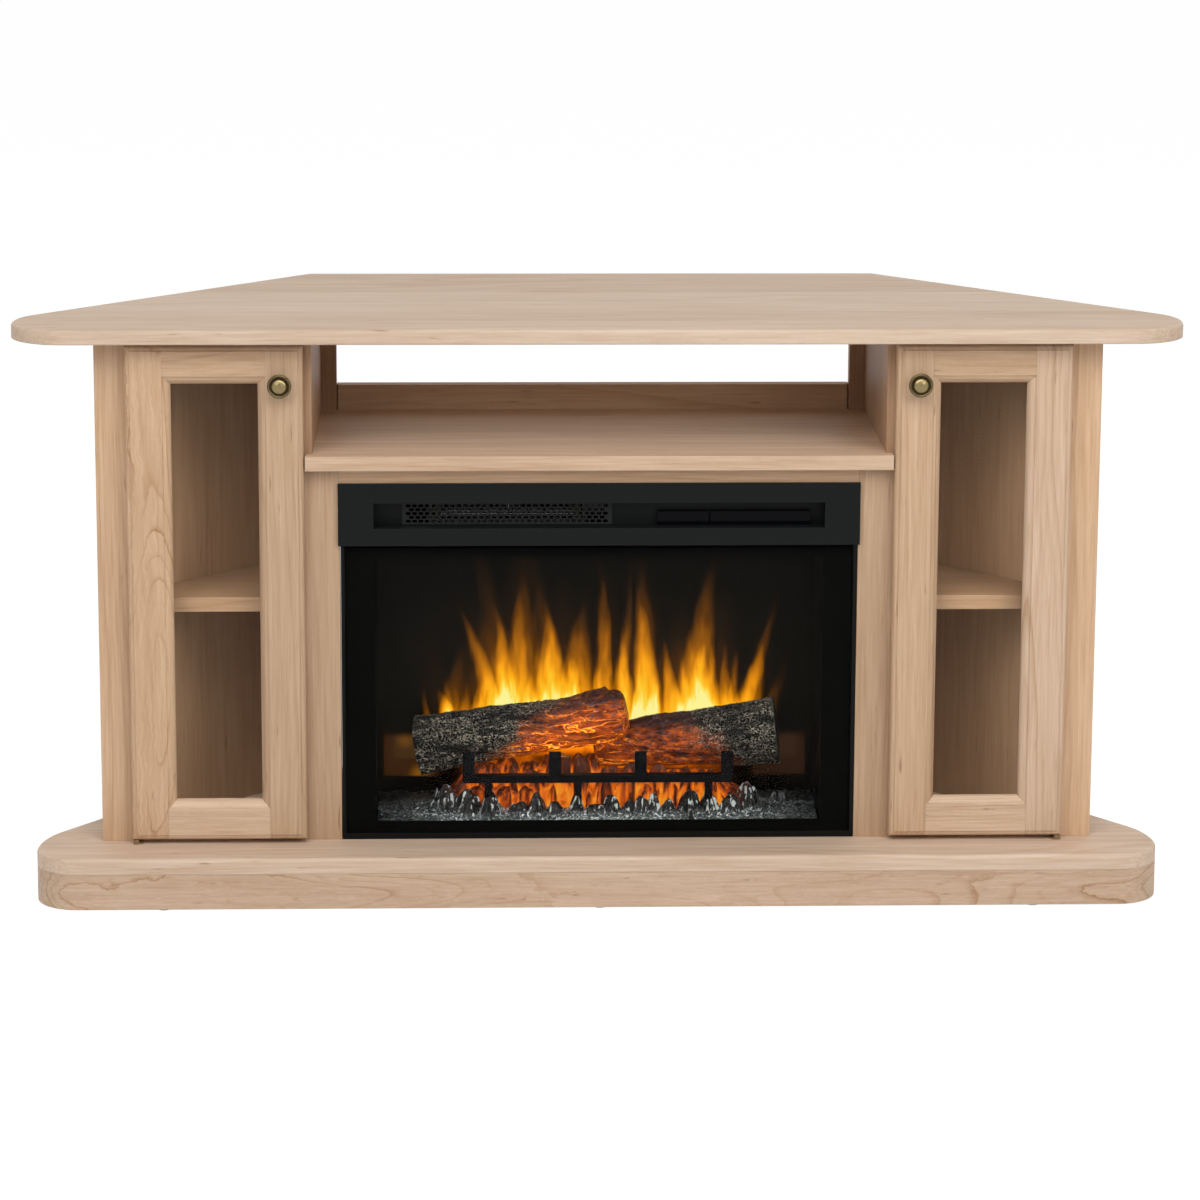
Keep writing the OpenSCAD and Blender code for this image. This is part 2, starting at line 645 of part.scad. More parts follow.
bed_low = 92;
bed_pad = 95;
bed_top = 96;
heap_half = 203;
heap_front = 47;
bed_peaks = [[-218, 44, 13, 13], [-176, 39, 24, 19], [-138, 37, 21, 16], [-104, 33, 12, 11],
    [-80, 36, 20, 15], [-57, 33, 14, 12], [-26, 37, 19, 12], [-2, 33, 10, 11], [17, 35, 16, 12],
    [42, 33, 15, 13], [58, 38, 16, 11], [72, 36, 21, 11], [90, 33, 16, 14], [122, 36, 22, 15],
    [146, 37, 21, 14], [178, 40, 20, 16], [193, 34, 14, 12], [216, 50, 9, 12], [240, 70, 10, 12]];
// Grey bed: a ramp up from the glass with moulded peaks along its back, level under the
// heap and at the feet of the grate
function bed_z(x, y) = let(wing = abs(x) > heap_half + 4,
        pad = y > 18 && y < 32 && min([for (leg = grate_legs) abs(x - leg)]) < 13)
    pad ? bed_pad : bed_low + min(wing ? 8 : bed_top - bed_low, 0.154 * (y - 7))
    + (wing || y < heap_front ? peaks(bed_peaks, x, y) : 0);
module ember_bed() color([0.35, 0.33, 0.32]) at_face() {
    xs = [for (i = [0:82]) 7 * i - 287];
    ys = [7, 13, 19, 24, 28, 31, 34, 37, 40, 43, heap_front, 54, 62, 70, 78, 106];
    relief(xs, ys, liner_low + 1.5, [for (y = ys) [for (x = xs) bed_z(x, y)]]);
}

heap_peaks = [[-186, 54, 22, 15], [-158, 55, 29, 15], [-118, 54, 28, 16], [-92, 54, 26, 14],
    [-57, 53, 31, 12], [-14, 54, 26, 15], [5, 55, 29, 12], [28, 54, 30, 14], [62, 55, 30, 16],
    [100, 54, 30, 17], [130, 55, 26, 14], [163, 54, 24, 15], [-145, 66, 38, 16], [-108, 66, 54, 18],
    [-78, 66, 46, 16], [-49, 72, 110, 21], [-20, 67, 64, 18], [20, 66, 52, 18], [62, 65, 46, 17],
    [100, 65, 48, 18], [138, 65, 46, 17], [174, 66, 30, 17], [-112, 90, 44, 15], [-16, 90, 60, 15]];
// Glowing heap: a low ridge with rows of peaks, level behind and flat on one tip for the feet
function heap_z(x, y) = let(end = min(1, (x + heap_half + 4) / 34, (heap_half + 8 - x) / 60),
        ridge = y > 104 ? 0 : min(heap_ledge - bed_top, 2 * (y - heap_front)))
    bed_top + max(1.5, min(heap_seat - bed_top, max(end * ridge, end * peaks(heap_peaks, x, y))));
module ember_coals() color([0.85, 0.30, 0.08]) at_face() {
    xs = [for (i = [0:58]) 7 * i - heap_half];
    ys = [heap_front, 50, 53, 56, 60, 64, 68, 72, 76, 80, 84, 90, 96, 104, 106];
    relief(xs, ys, bed_top, [for (y = ys) [for (x = xs) heap_z(x, y)]]);
}

rotor_y = 168;
rotor_z = 108;
module flicker_rotor() color([0.80, 0.80, 0.82]) at_face() translate([0, rotor_y, rotor_z]) {
    translate([-289, 0, 0]) rotate([0, 90, 0]) cylinder(r = 2, h = 590);
    for (i = [-10:10]) translate([i * 26, 0, 0]) rotate([i * 48, 0, 0])
        cube([18, 34, 0.8], center = true);
}

module rotor_mounts() color(steel) at_face() difference() {
    union() {
        for (x = [-286, 280]) box(x, x + 6, rotor_y - 16, rotor_y + 16, hearth_height + 1.5, rotor_z + 14);
        translate([286, rotor_y, rotor_z]) rotate([0, 90, 0]) cylinder(r = 21, h = 20);
    }
    translate([-300, rotor_y, rotor_z]) rotate([0, 90, 0]) cylinder(r = 2.1, h = 603);
}

fan_y = 78;
fan_z = 501;
fan_x0 = -212;
fan_len = 188;
module blower_wheel() color([0.70, 0.70, 0.72]) at_face() translate([fan_x0, fan_y, fan_z])
    rotate([0, 90, 0]) {
        translate([0, 0, -14]) cylinder(r = 2, h = fan_len + 40);
        for (z = [0, fan_len / 2, fan_len - 2]) translate([0, 0, z]) cylinder(r = 19, h = 2);
        for (i = [0:17]) rotate([0, 0, 20 * i]) translate([14, 0, 0]) rotate([0, 0, 35])
            translate([0, -0.4, 0]) cube([5.5, 0.8, fan_len]);
    }

module blower_housing() color(steel) at_face() difference() {
    union() {
        box(fan_x0 - 8, fan_x0 + fan_len + 8, 44, 104, 474, 529);
        translate([fan_x0 + fan_len + 8, fan_y, fan_z]) rotate([0, 90, 0]) cylinder(r = 24, h = 26);
    }
    translate([fan_x0 - 3, fan_y, fan_z]) rotate([0, 90, 0]) cylinder(r = 22.5, h = fan_len + 6);
    // Outlet towards the heater and inlet from above
    box(fan_x0 - 3, fan_x0 + fan_len + 3, 40, fan_y, 484, 512);
    box(fan_x0 + 6, fan_x0 + fan_len - 6, fan_y + 2, 96, fan_z, 535);
    translate([fan_x0 - 20, fan_y, fan_z]) rotate([0, 90, 0]) cylinder(r = 2.1, h = fan_len + 48);
}

// Strain relief for the supply cord, with nothing in it
module cord_gland() color([0.12, 0.12, 0.12]) at_face() translate([gland_x, shell_back, gland_z])
    rotate([-90, 0, 0]) difference() {
        union() {
            cylinder(r = 11, h = 5);
            translate([0, 0, -6.5]) cylinder(r = 7, h = 20);
            translate([0, 0, -6.5]) cylinder(r = 11, h = 5, $fn = 6);
            translate([0, 0, 5]) cylinder(r1 = 9.5, r2 = 8, h = 10);
        }
        translate([0, 0, -10]) cylinder(r = 4, h = 40);
    }

top_board();
hearth_board();
skirt_front();
skirt_sides();
skirt_back();
glides();
outer_stile_left();
outer_stile_right();
inner_stile_left();
inner_stile_right();
fire_rail();
door_headers();
partition_left();
partition_right();
side_returns();
side_wall_left();
side_wall_right();
media_shelf();
back_posts();
back_rail();
shelf_left();
shelf_right();
shelf_pins();
pivot_leaves();
hinge_stile_left();
knob_stile_left();
upper_rail_left();
lower_rail_left();
glass_left();
glass_stops_left();
knob_left();
hinge_stile_right();
knob_stile_right();
upper_rail_right();
lower_rail_right();
glass_right();
glass_stops_right();
knob_right();
fire_shell();
hood_panel();
hood_recess();
heater_grille();
heater_element();
display_windows();
front_glass();
glass_border();
front_trim();
chamber_liner();
rear_screen();
log_left();
log_right();
grate();
ember_bed();
ember_coals();
flicker_rotor();
rotor_mounts();
blower_wheel();
blower_housing();
cord_gland();
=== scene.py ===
"""Corner fireplace cabinet: finishes, flame picture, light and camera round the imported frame."""
import math

import bpy
import numpy as np
from mathutils import Matrix, Vector


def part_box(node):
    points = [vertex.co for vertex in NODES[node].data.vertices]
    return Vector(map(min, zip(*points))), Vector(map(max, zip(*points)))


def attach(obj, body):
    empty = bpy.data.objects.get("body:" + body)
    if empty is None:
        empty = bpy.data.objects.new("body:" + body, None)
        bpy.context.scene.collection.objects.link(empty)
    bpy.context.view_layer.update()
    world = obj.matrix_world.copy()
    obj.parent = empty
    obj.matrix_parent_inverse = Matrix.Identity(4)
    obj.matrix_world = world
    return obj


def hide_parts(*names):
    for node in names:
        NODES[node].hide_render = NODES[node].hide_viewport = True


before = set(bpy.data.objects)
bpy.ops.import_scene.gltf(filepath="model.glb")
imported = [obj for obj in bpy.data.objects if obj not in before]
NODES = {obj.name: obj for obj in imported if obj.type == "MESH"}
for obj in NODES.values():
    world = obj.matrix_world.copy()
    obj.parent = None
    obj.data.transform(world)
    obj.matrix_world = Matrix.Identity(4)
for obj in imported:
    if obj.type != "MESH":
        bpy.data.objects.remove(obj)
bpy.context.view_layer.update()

scene = bpy.context.scene

# Front plane of the face frame in metres, from which the depths below are counted
FACE_Y = -0.1655


# ---- node trees ----


class Tree:
    """The nodes of a material or of the world, and short calls that add to them. Numbers
    and sockets may be mixed, and three numbers make a colour."""

    def __init__(self, name, world=False):
        self.block = (bpy.data.worlds if world else bpy.data.materials).new(name)
        self.block.use_nodes = True
        self.tree = self.block.node_tree
        self.tree.nodes.clear()
        self.out = self.add("ShaderNodeOutputWorld" if world else "ShaderNodeOutputMaterial")

    def add(self, kind, **settings):
        node = self.tree.nodes.new(kind)
        for key, value in settings.items():
            setattr(node, key, value)
        return node

    def feed(self, socket, value):
        if isinstance(value, bpy.types.NodeSocket):
            self.tree.links.new(value, socket)
        elif socket.type == "RGBA":
            socket.default_value = (*value, 1.0)
        else:
            socket.default_value = value

    def math(self, operation, *values, clamp=False):
        node = self.add("ShaderNodeMath", operation=operation, use_clamp=clamp)
        for socket, value in zip(node.inputs, values):
            self.feed(socket, value)
        return node.outputs[0]

    def times(self, vector, factors):
        """A vector or colour times three factors."""
        node = self.add("ShaderNodeVectorMath", operation="MULTIPLY")
        self.feed(node.inputs[0], vector)
        self.feed(node.inputs[1], factors)
        return node.outputs[0]

    def place(self):
        """The frame's own coordinates, which turn with a door."""
        return self.add("ShaderNodeTexCoord").outputs["Object"]

    def painted(self, name):
        """A number kept on the vertices of a mesh made below."""
        return self.add("ShaderNodeAttribute", attribute_name=name).outputs["Fac"]

    def rays(self):
        return self.add("ShaderNodeLightPath").outputs

    def split(self, vector):
        node = self.add("ShaderNodeSeparateXYZ")
        self.feed(node.inputs[0], vector)
        return node.outputs

    def join(self, x, y, z):
        node = self.add("ShaderNodeCombineXYZ")
        for socket, value in zip(node.inputs, (x, y, z)):
            self.feed(socket, value)
        return node.outputs[0]

    def noise(self, vector, scale, detail=2.0, rough=0.5, warp=0.0):
        """scale is the number of waves to a unit of vector."""
        node = self.add("ShaderNodeTexNoise")
        self.feed(node.inputs["Vector"], vector)
        for key, value in (("Scale", scale), ("Detail", detail), ("Roughness", rough), ("Distortion", warp)):
            self.feed(node.inputs[key], value)
        return node.outputs["Fac"]

    def random(self, number):
        """A fixed random number from 0 to 1 for each number."""
        node = self.add("ShaderNodeTexWhiteNoise", noise_dimensions="1D")
        self.feed(node.inputs["W"], number)
        return node.outputs["Value"]

    def swing(self, noise, width, base=0.0):
        """base, moved up and down by a noise whose whole range counts for width."""
        return self.math("MULTIPLY_ADD", self.math("SUBTRACT", noise, 0.5), width, base)

    def span(self, value, low, high, to_low=0.0, to_high=1.0, smooth=False):
        """value taken from low..high to to_low..to_high and held there."""
        node = self.add("ShaderNodeMapRange", interpolation_type="SMOOTHSTEP" if smooth else "LINEAR")
        for socket, number in zip(node.inputs, (value, low, high, to_low, to_high)):
            self.feed(socket, number)
        return node.outputs[0]

    def window(self, value, start, full, held, end):
        """1 from full to held, 0 before start and after end."""
        return self.math("MULTIPLY", self.span(value, start, full), self.span(value, held, end, 1.0, 0.0))

    def level_lines(self, noise, core, edge, strength=1.0):
        """Lines where a noise crosses its middle: strength as far as core from it, 0 at edge."""
        off = self.math("ABSOLUTE", self.math("SUBTRACT", noise, 0.5))
        return self.span(off, core, edge, strength, 0.0)

    def spot(self, x, z, at_x, at_z, radius, strength):
        """A soft round patch, strength in its middle and 0 at its radius."""
        away = self.math("POWER", self.math("SUBTRACT", x, at_x), 2.0)
        away = self.math("ADD", away, self.math("POWER", self.math("SUBTRACT", z, at_z), 2.0))
        return self.span(self.math("SQRT", away), 0.0, radius, strength, 0.0, smooth=True)

    def ramp(self, value, stops):
        node = self.add("ShaderNodeValToRGB")
        band = node.color_ramp
        while len(band.elements) < len(stops):
            band.elements.new(1.0)
        for element, (position, colour) in zip(band.elements, stops):
            element.position = position
            element.color = (*colour, 1.0)
        self.feed(node.inputs[0], value)
        return node.outputs[0]

    def mix(self, share, a, b):
        """Colours a and b in the shares 1 - share and share."""
        node = self.add("ShaderNodeMix", data_type="RGBA")
        # Sockets 6 and 7 are the two colours, and output 2 is the colour
        for index, value in ((0, share), (6, a), (7, b)):
            self.feed(node.inputs[index], value)
        return node.outputs[2]

    def bump(self, height, depth, strength, normal=None):
        node = self.add("ShaderNodeBump")
        self.feed(node.inputs["Height"], height)
        node.inputs["Distance"].default_value = depth
        node.inputs["Strength"].default_value = strength
        if normal is not None:
            self.feed(node.inputs["Normal"], normal)
        return node.outputs[0]

    def eased(self, radius):
        """Normals that run round the edges as if they were broken with that radius."""
        node = self.add("ShaderNodeBevel", samples=4)
        node.inputs["Radius"].default_value = radius
        return node.outputs[0]

    def surface(self, colour, rough, normal=None, **settings):
        """Ends the tree in one Principled shader. Other settings go to the sockets of those names."""
        node = self.add("ShaderNodeBsdfPrincipled")
        self.feed(node.inputs["Base Color"], colour)
        self.feed(node.inputs["Roughness"], rough)
        if normal is not None:
            self.feed(node.inputs["Normal"], normal)
        for key, value in settings.items():
            name = key.replace("_", " ").title().replace("Ior", "IOR")
            self.feed(node.inputs[name], value)
        self.end(node)
        return node

    def end(self, shader):
        self.feed(self.out.inputs[0], shader.outputs[0])

    def end_mixed(self, share, first, second):
        """Ends the tree in a mix of two shaders."""
        both = self.add("ShaderNodeMixShader")
        for socket, value in zip(both.inputs, (share, first.outputs[0], second.outputs[0])):
            self.feed(socket, value)
        self.end(both)


def dress(material, *names):
    for name in names:
        NODES[name].data.materials.clear()
        NODES[name].data.materials.append(material)


# ---- maple ----

MAPLE = (0.612, 0.403, 0.250)
# Painted light: boards that catch more light are painted a little paler, the top and the hearth,
# which lie flat, get less colour as painted sheen, and the inside more colour as painted shade
MAPLE_LIT_PALE = (0.598, 0.422, 0.290)
MAPLE_SHEEN_FLAT = (0.520, 0.390, 0.290)
MAPLE_SHADED = (0.600, 0.355, 0.199)
# Dark lines of the growth rings, and the short flecks
MAPLE_LATE = (0.400, 0.215, 0.102)
MAPLE_FLECK = (0.230, 0.110, 0.050)
# Order of the coordinates that puts the grain first
GRAIN_ORDER = {"x": (0, 1, 2), "z": (2, 0, 1)}
# Metres through the wood from one seed's board to the next, and from stave to stave
SEED_STEP, STAVE_STEP = 3.71, 2.37


def maple(name, grain, seed, tone=1.0, figure=0.7, pitch=7.5, arch=0.0, stretch=0.15, jag=0.0, fine=3.0,
          stave=None, edge=0.0012, base=MAPLE):
    """Plain unfinished maple of colour base, tone times as bright. grain is the axis of the
    fibres. The growth rings show as lines: figure is how dark, pitch how far apart in mm,
    arch how much they run in arches instead of straight along the board, stretch how short
    the arches are, jag how ragged the lines run and fine how thin they are. stave = (first
    joint, width) in y glues the board up from staves. edge = radius of the broken edges."""
    t = Tree(name)
    axes = t.split(t.place())
    along, across, deep = (axes[i] for i in GRAIN_ORDER[grain])

    def wood(squeeze, sides, scale, *settings):
        """Noise drawn out along the grain, the longer the smaller squeeze is."""
        return t.noise(t.join(t.math("MULTIPLY", along, squeeze), *sides), scale, *settings)

    value = 1.0
    shift = seed * SEED_STEP
    if stave:
        first, width = stave
        number = t.math("FLOOR", t.math("DIVIDE", t.math("SUBTRACT", axes[1], first), width))
        value = t.swing(t.random(t.math("ADD", number, seed)), 0.10, 1.0)
        shift = t.math("MULTIPLY_ADD", number, STAVE_STEP, shift)
    apart = t.math("ADD", deep, shift)
    # Slow waves and small jags bend every line of the figure
    straight = (across, apart)
    sway = t.swing(wood(0.35, straight, 12.0, 1.0), 0.006 + 0.010 * arch)
    jags = t.swing(wood(0.6, straight, 55.0, 3.0, 0.6), 0.0024 + jag)
    bent = t.math("ADD", across, t.math("ADD", sway, jags))
    wavy = (bent, apart)
    # Straight rings run across the board; arches are level lines of a long noise
    rings = t.math("MULTIPLY", t.math("ADD", bent, deep), (1 - arch) * 1000.0 / pitch)
    field = wood(stretch, wavy, 9.0, 1.0, 0.4)
    rings = t.math("MULTIPLY_ADD", field, (9.0 + 16.0 * arch) * 7.5 / pitch, rings)
    saw = t.math("FRACT", rings)
    line = t.math("MAXIMUM", t.math("POWER", saw, fine), t.span(saw, 0.0, 0.4 / fine, 1.0, 0.0))
    # A few rings are much darker than the others
    dark = t.math("POWER", t.random(t.math("FLOOR", t.math("ADD", rings, 0.5))), 2.2 - arch)
    line = t.math("MULTIPLY", line, t.math("MULTIPLY_ADD", dark, 0.88, 0.12))
    # Lines come and go along the board
    patch = t.span(wood(0.3, wavy, 11.0, 1.0), 0.34, 0.62, 0.35, 1.0, smooth=True)
    # Fine fibres, broader streaks, wide clouds and short dark flecks
    fibre = wood(0.03, (bent, deep), 340.0, 3.0, 0.65)
    streak = wood(0.045, wavy, 105.0, 3.0, 0.6)
    cloud = wood(0.3, straight, 6.0, 2.0)
    fleck = wood(0.10, wavy, 170.0, 1.0)
    for noise, width in ((fibre, 0.60), (streak, 0.42), (cloud, 0.26)):
        value = t.swing(noise, width, value)
    colour = t.mix(t.math("MULTIPLY", t.math("MULTIPLY", line, patch), figure), base, MAPLE_LATE)
    colour = t.mix(t.span(fleck, 0.73, 0.80, 0.0, 0.60), colour, MAPLE_FLECK)
    # Darker streaks are also redder
    tint = (t.math("MULTIPLY", t.math("POWER", value, power), tone) for power in (0.8, 1.1, 1.4))
    height = t.math("ADD", t.math("MULTIPLY", fibre, 0.7), t.math("MULTIPLY", streak, 0.3))
    t.surface(t.times(colour, t.join(*tint)), t.span(fibre, 0.3, 0.7, 0.48, 0.60),
              t.bump(height, 0.00012, 0.35, t.eased(edge)), specular_ior_level=0.35)
    return t.block


# Boards glued up from staves: first joint and width
TOP_STAVES = (FACE_Y + 0.022, 0.076)
HEARTH_STAVES = (FACE_Y + 0.050, 0.085)
MEDIA_STAVES = (FACE_Y - 0.018, 0.090)

dress(maple("maple_top", "x", 1, tone=1.09, figure=0.40, pitch=12.0, arch=0.6, stave=TOP_STAVES,
            edge=0.003, base=MAPLE_SHEEN_FLAT), "top_board")
dress(maple("maple_hearth", "x", 2, tone=1.16, figure=0.40, pitch=12.0, arch=0.6, stave=HEARTH_STAVES,
            edge=0.003, base=MAPLE_SHEEN_FLAT), "hearth_board")
dress(maple("maple_skirt", "x", 3, tone=0.87, figure=1.30, pitch=7.0, arch=1.0, stretch=0.20, jag=0.008,
            fine=9.0, base=MAPLE_LIT_PALE), "skirt_front", "skirt_sides")
dress(maple("maple_skirt_back", "x", 4, tone=0.88), "skirt_back")
dress(maple("maple_stile_left", "z", 5, tone=0.92, figure=0.80, pitch=9.0),
      "outer_stile_left", "side_returns")
dress(maple("maple_stile_right", "z", 6, tone=0.99, figure=0.70, pitch=9.0), "outer_stile_right")
# The inner stiles' low tone is partly painted shade under the nosing of the media shelf
dress(maple("maple_inner_stiles", "z", 15, tone=0.72, figure=0.72, pitch=8.0),
      "inner_stile_left", "inner_stile_right")
dress(maple("maple_door_left", "z", 7, tone=0.90, figure=1.20, pitch=6.5, arch=1.0, stretch=0.17,
            jag=0.012, fine=9.0), "hinge_stile_left")
dress(maple("maple_door_left_b", "z", 8, tone=0.77, figure=0.98, pitch=7.0), "knob_stile_left")
dress(maple("maple_door_right", "z", 9, tone=0.94, figure=0.95, pitch=6.5, arch=0.25, base=MAPLE_LIT_PALE),
      "hinge_stile_right")
dress(maple("maple_door_right_b", "z", 10, tone=0.83, figure=0.95), "knob_stile_right")
dress(maple("maple_upper_rails", "x", 11, tone=0.83, figure=0.90, arch=0.9, stretch=0.16, jag=0.003,
            fine=5.0), "upper_rail_left", "upper_rail_right", "door_headers")
dress(maple("maple_lower_rails", "x", 17, tone=0.99, figure=0.85, pitch=6.0, arch=0.5, stretch=0.12,
            jag=0.003, fine=5.0, base=MAPLE_LIT_PALE),
      "lower_rail_left", "lower_rail_right", "glass_stops_left", "glass_stops_right")
dress(maple("maple_fire_rail", "x", 16, tone=0.86), "fire_rail")
dress(maple("maple_media", "x", 12, tone=0.96, figure=0.45, pitch=12.0, arch=0.3, stave=MEDIA_STAVES,
            base=MAPLE_LIT_PALE), "media_shelf")
# Painted shade: the low tones and the MAPLE_SHADED colour of the partitions, walls, posts and shelves inside
# the cupboards
dress(maple("maple_inside", "z", 13, tone=0.61, figure=0.40, pitch=11.0, arch=0.6, stretch=0.08,
            fine=6.0, base=MAPLE_SHADED),
      "partition_left", "partition_right", "side_wall_left", "side_wall_right", "back_posts")
dress(maple("maple_inside_x", "x", 14, tone=0.60, figure=0.50, pitch=9.0, arch=0.3, base=MAPLE_SHADED),
      "shelf_left", "shelf_right")
dress(maple("maple_rail", "x", 18, tone=0.86, figure=0.50, pitch=9.0, arch=0.3), "back_rail")


# ---- metal, glass and black parts ----


def coated(name, colour, rough, peel_depth, specular):
    """Powder coat or nylon: a fine orange peel over a nearly even colour."""
    t = Tree(name)
    place = t.place()
    peel = t.noise(place, 900.0, 2.0, 0.6)
    cloud = t.noise(place, 14.0)
    paler = tuple(c * 1.5 for c in colour)
    t.surface(t.mix(t.math("MULTIPLY", cloud, 0.4), colour, paler),
              t.span(cloud, 0.3, 0.7, rough - 0.05, rough + 0.05),
              t.bump(peel, peel_depth, 0.5, t.eased(0.0008)), specular_ior_level=specular)
    return t.block


# Colour, roughness, depth of the peel in metres, specular level and CAD nodes of each coat
COATS = {
    "hood_black": ((0.0062, 0.0070, 0.0070), 0.42, 0.00006, 0.10, ("hood_panel", "hood_recess")),
    "trim_black": ((0.0050, 0.0052, 0.0050), 0.45, 0.00006, 0.08, ("front_trim", "fire_shell")),
    "liner_black": ((0.0040, 0.0038, 0.0034), 0.16, 0.00003, 0.16, ("chamber_liner",)),
    "grate_black": ((0.0022, 0.0022, 0.0026), 0.45, 0.00020, 0.03, ("grate",)),
    "grille_black": ((0.023, 0.024, 0.024), 0.50, 0.00005, 0.12, ("heater_grille",)),
    "gland_nylon": ((0.020, 0.020, 0.020), 0.50, 0.00005, 0.35, ("cord_gland",)),
    "pale_nylon": ((0.62, 0.61, 0.58), 0.50, 0.00005, 0.35, ("glides",)),
    # The heater's fins are painted dark as shade, for they sit in shadow behind the grille
    "shade_darkened_heater_fins": ((0.060, 0.054, 0.042), 0.50, 0.00005, 0.06, ("heater_element",)),
    "display_black": ((0.0020, 0.0020, 0.0030), 0.10, 0.00001, 0.06, ("display_windows",)),
}
for coat, (*settings, parts) in COATS.items():
    dress(coated(coat, *settings), *parts)


def mask_print():
    """Flat black print on the edge of the glass."""
    t = Tree("mask_print")
    cloud = t.noise(t.place(), 20.0)
    t.surface(t.mix(cloud, (0.0056, 0.0056, 0.0050), (0.0080, 0.0080, 0.0070)), 0.5, specular_ior_level=0.03)
    return t.block


dress(mask_print(), "glass_border")


def steel(name, colour, rough, brush):
    """Sheet metal with brushed lines, drawn out along the axis of the smallest factor in brush."""
    t = Tree(name)
    place = t.place()
    lines = t.noise(t.times(place, brush), 300.0, 3.0, 0.6)
    cloud = t.noise(place, 30.0)
    duller = tuple(c * 0.7 for c in colour)
    t.surface(t.mix(t.math("MULTIPLY", cloud, 0.6), colour, duller),
              t.span(lines, 0.3, 0.7, rough - 0.06, rough + 0.10), t.bump(lines, 0.00005, 0.3), metallic=1.0)
    return t.block


BRUSHED_UP, BRUSHED_ACROSS = (1, 1, 0.1), (0.1, 1, 1)
dress(steel("zinc_plate", (0.56, 0.56, 0.57), 0.35, BRUSHED_UP), "shelf_pins", "rotor_mounts")
dress(steel("satin_brass_leaf", (0.40, 0.29, 0.18), 0.50, BRUSHED_UP), "pivot_leaves")
dress(steel("bright_strip", (0.78, 0.78, 0.79), 0.22, BRUSHED_ACROSS), "flicker_rotor", "blower_wheel")
# The blower housing is galvanised sheet; its dark colour is painted shade, for it sits in shadow behind the
# grille
dress(steel("shade_darkened_sheet", (0.080, 0.078, 0.074), 0.55, BRUSHED_UP), "blower_housing")

# Depth of the groove between the knob's rim and its dome
KNOB_GROOVE_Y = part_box("knob_left")[0][1] + 0.0061


def antique_brass():
    """Lacquered brass, rubbed bright on the dome and dark brown in the groove."""
    t = Tree("antique_brass_knob")
    place = t.place()
    depth = t.math("SUBTRACT", KNOB_GROOVE_Y, t.split(place)[1])
    rubbed = t.span(depth, -0.0004, 0.0042, smooth=True)
    spots = t.noise(place, 420.0, 3.0, 0.6)
    worn = t.math("MULTIPLY_ADD", t.math("SUBTRACT", spots, 0.5), 0.7, rubbed, clamp=True)
    colour = t.mix(worn, (0.060, 0.042, 0.020), (0.27, 0.205, 0.098))
    t.surface(colour, t.span(spots, 0.3, 0.7, 0.26, 0.40), t.bump(spots, 0.00004, 0.4), metallic=1.0)
    return t.block


dress(antique_brass(), "knob_left", "knob_right")


def clear_glass(name, tint, ior):
    """Glass that lets the lamps' light through, so that what is behind it is lit."""
    t = Tree(name)
    pane = t.surface(tint, 0.02, ior=ior, transmission_weight=1.0)
    open_to_light = t.add("ShaderNodeBsdfTransparent")
    t.feed(open_to_light.inputs[0], tint)
    t.end_mixed(t.rays()["Is Shadow Ray"], pane, open_to_light)
    return t.block


# The index is low, so that no white veil of the surroundings lies over what is behind
dress(clear_glass("door_glass", (0.95, 0.96, 0.95), 1.12), "glass_left", "glass_right")
dress(clear_glass("fire_glass", (0.97, 0.97, 0.97), 1.08), "front_glass")


# ---- the fire ----

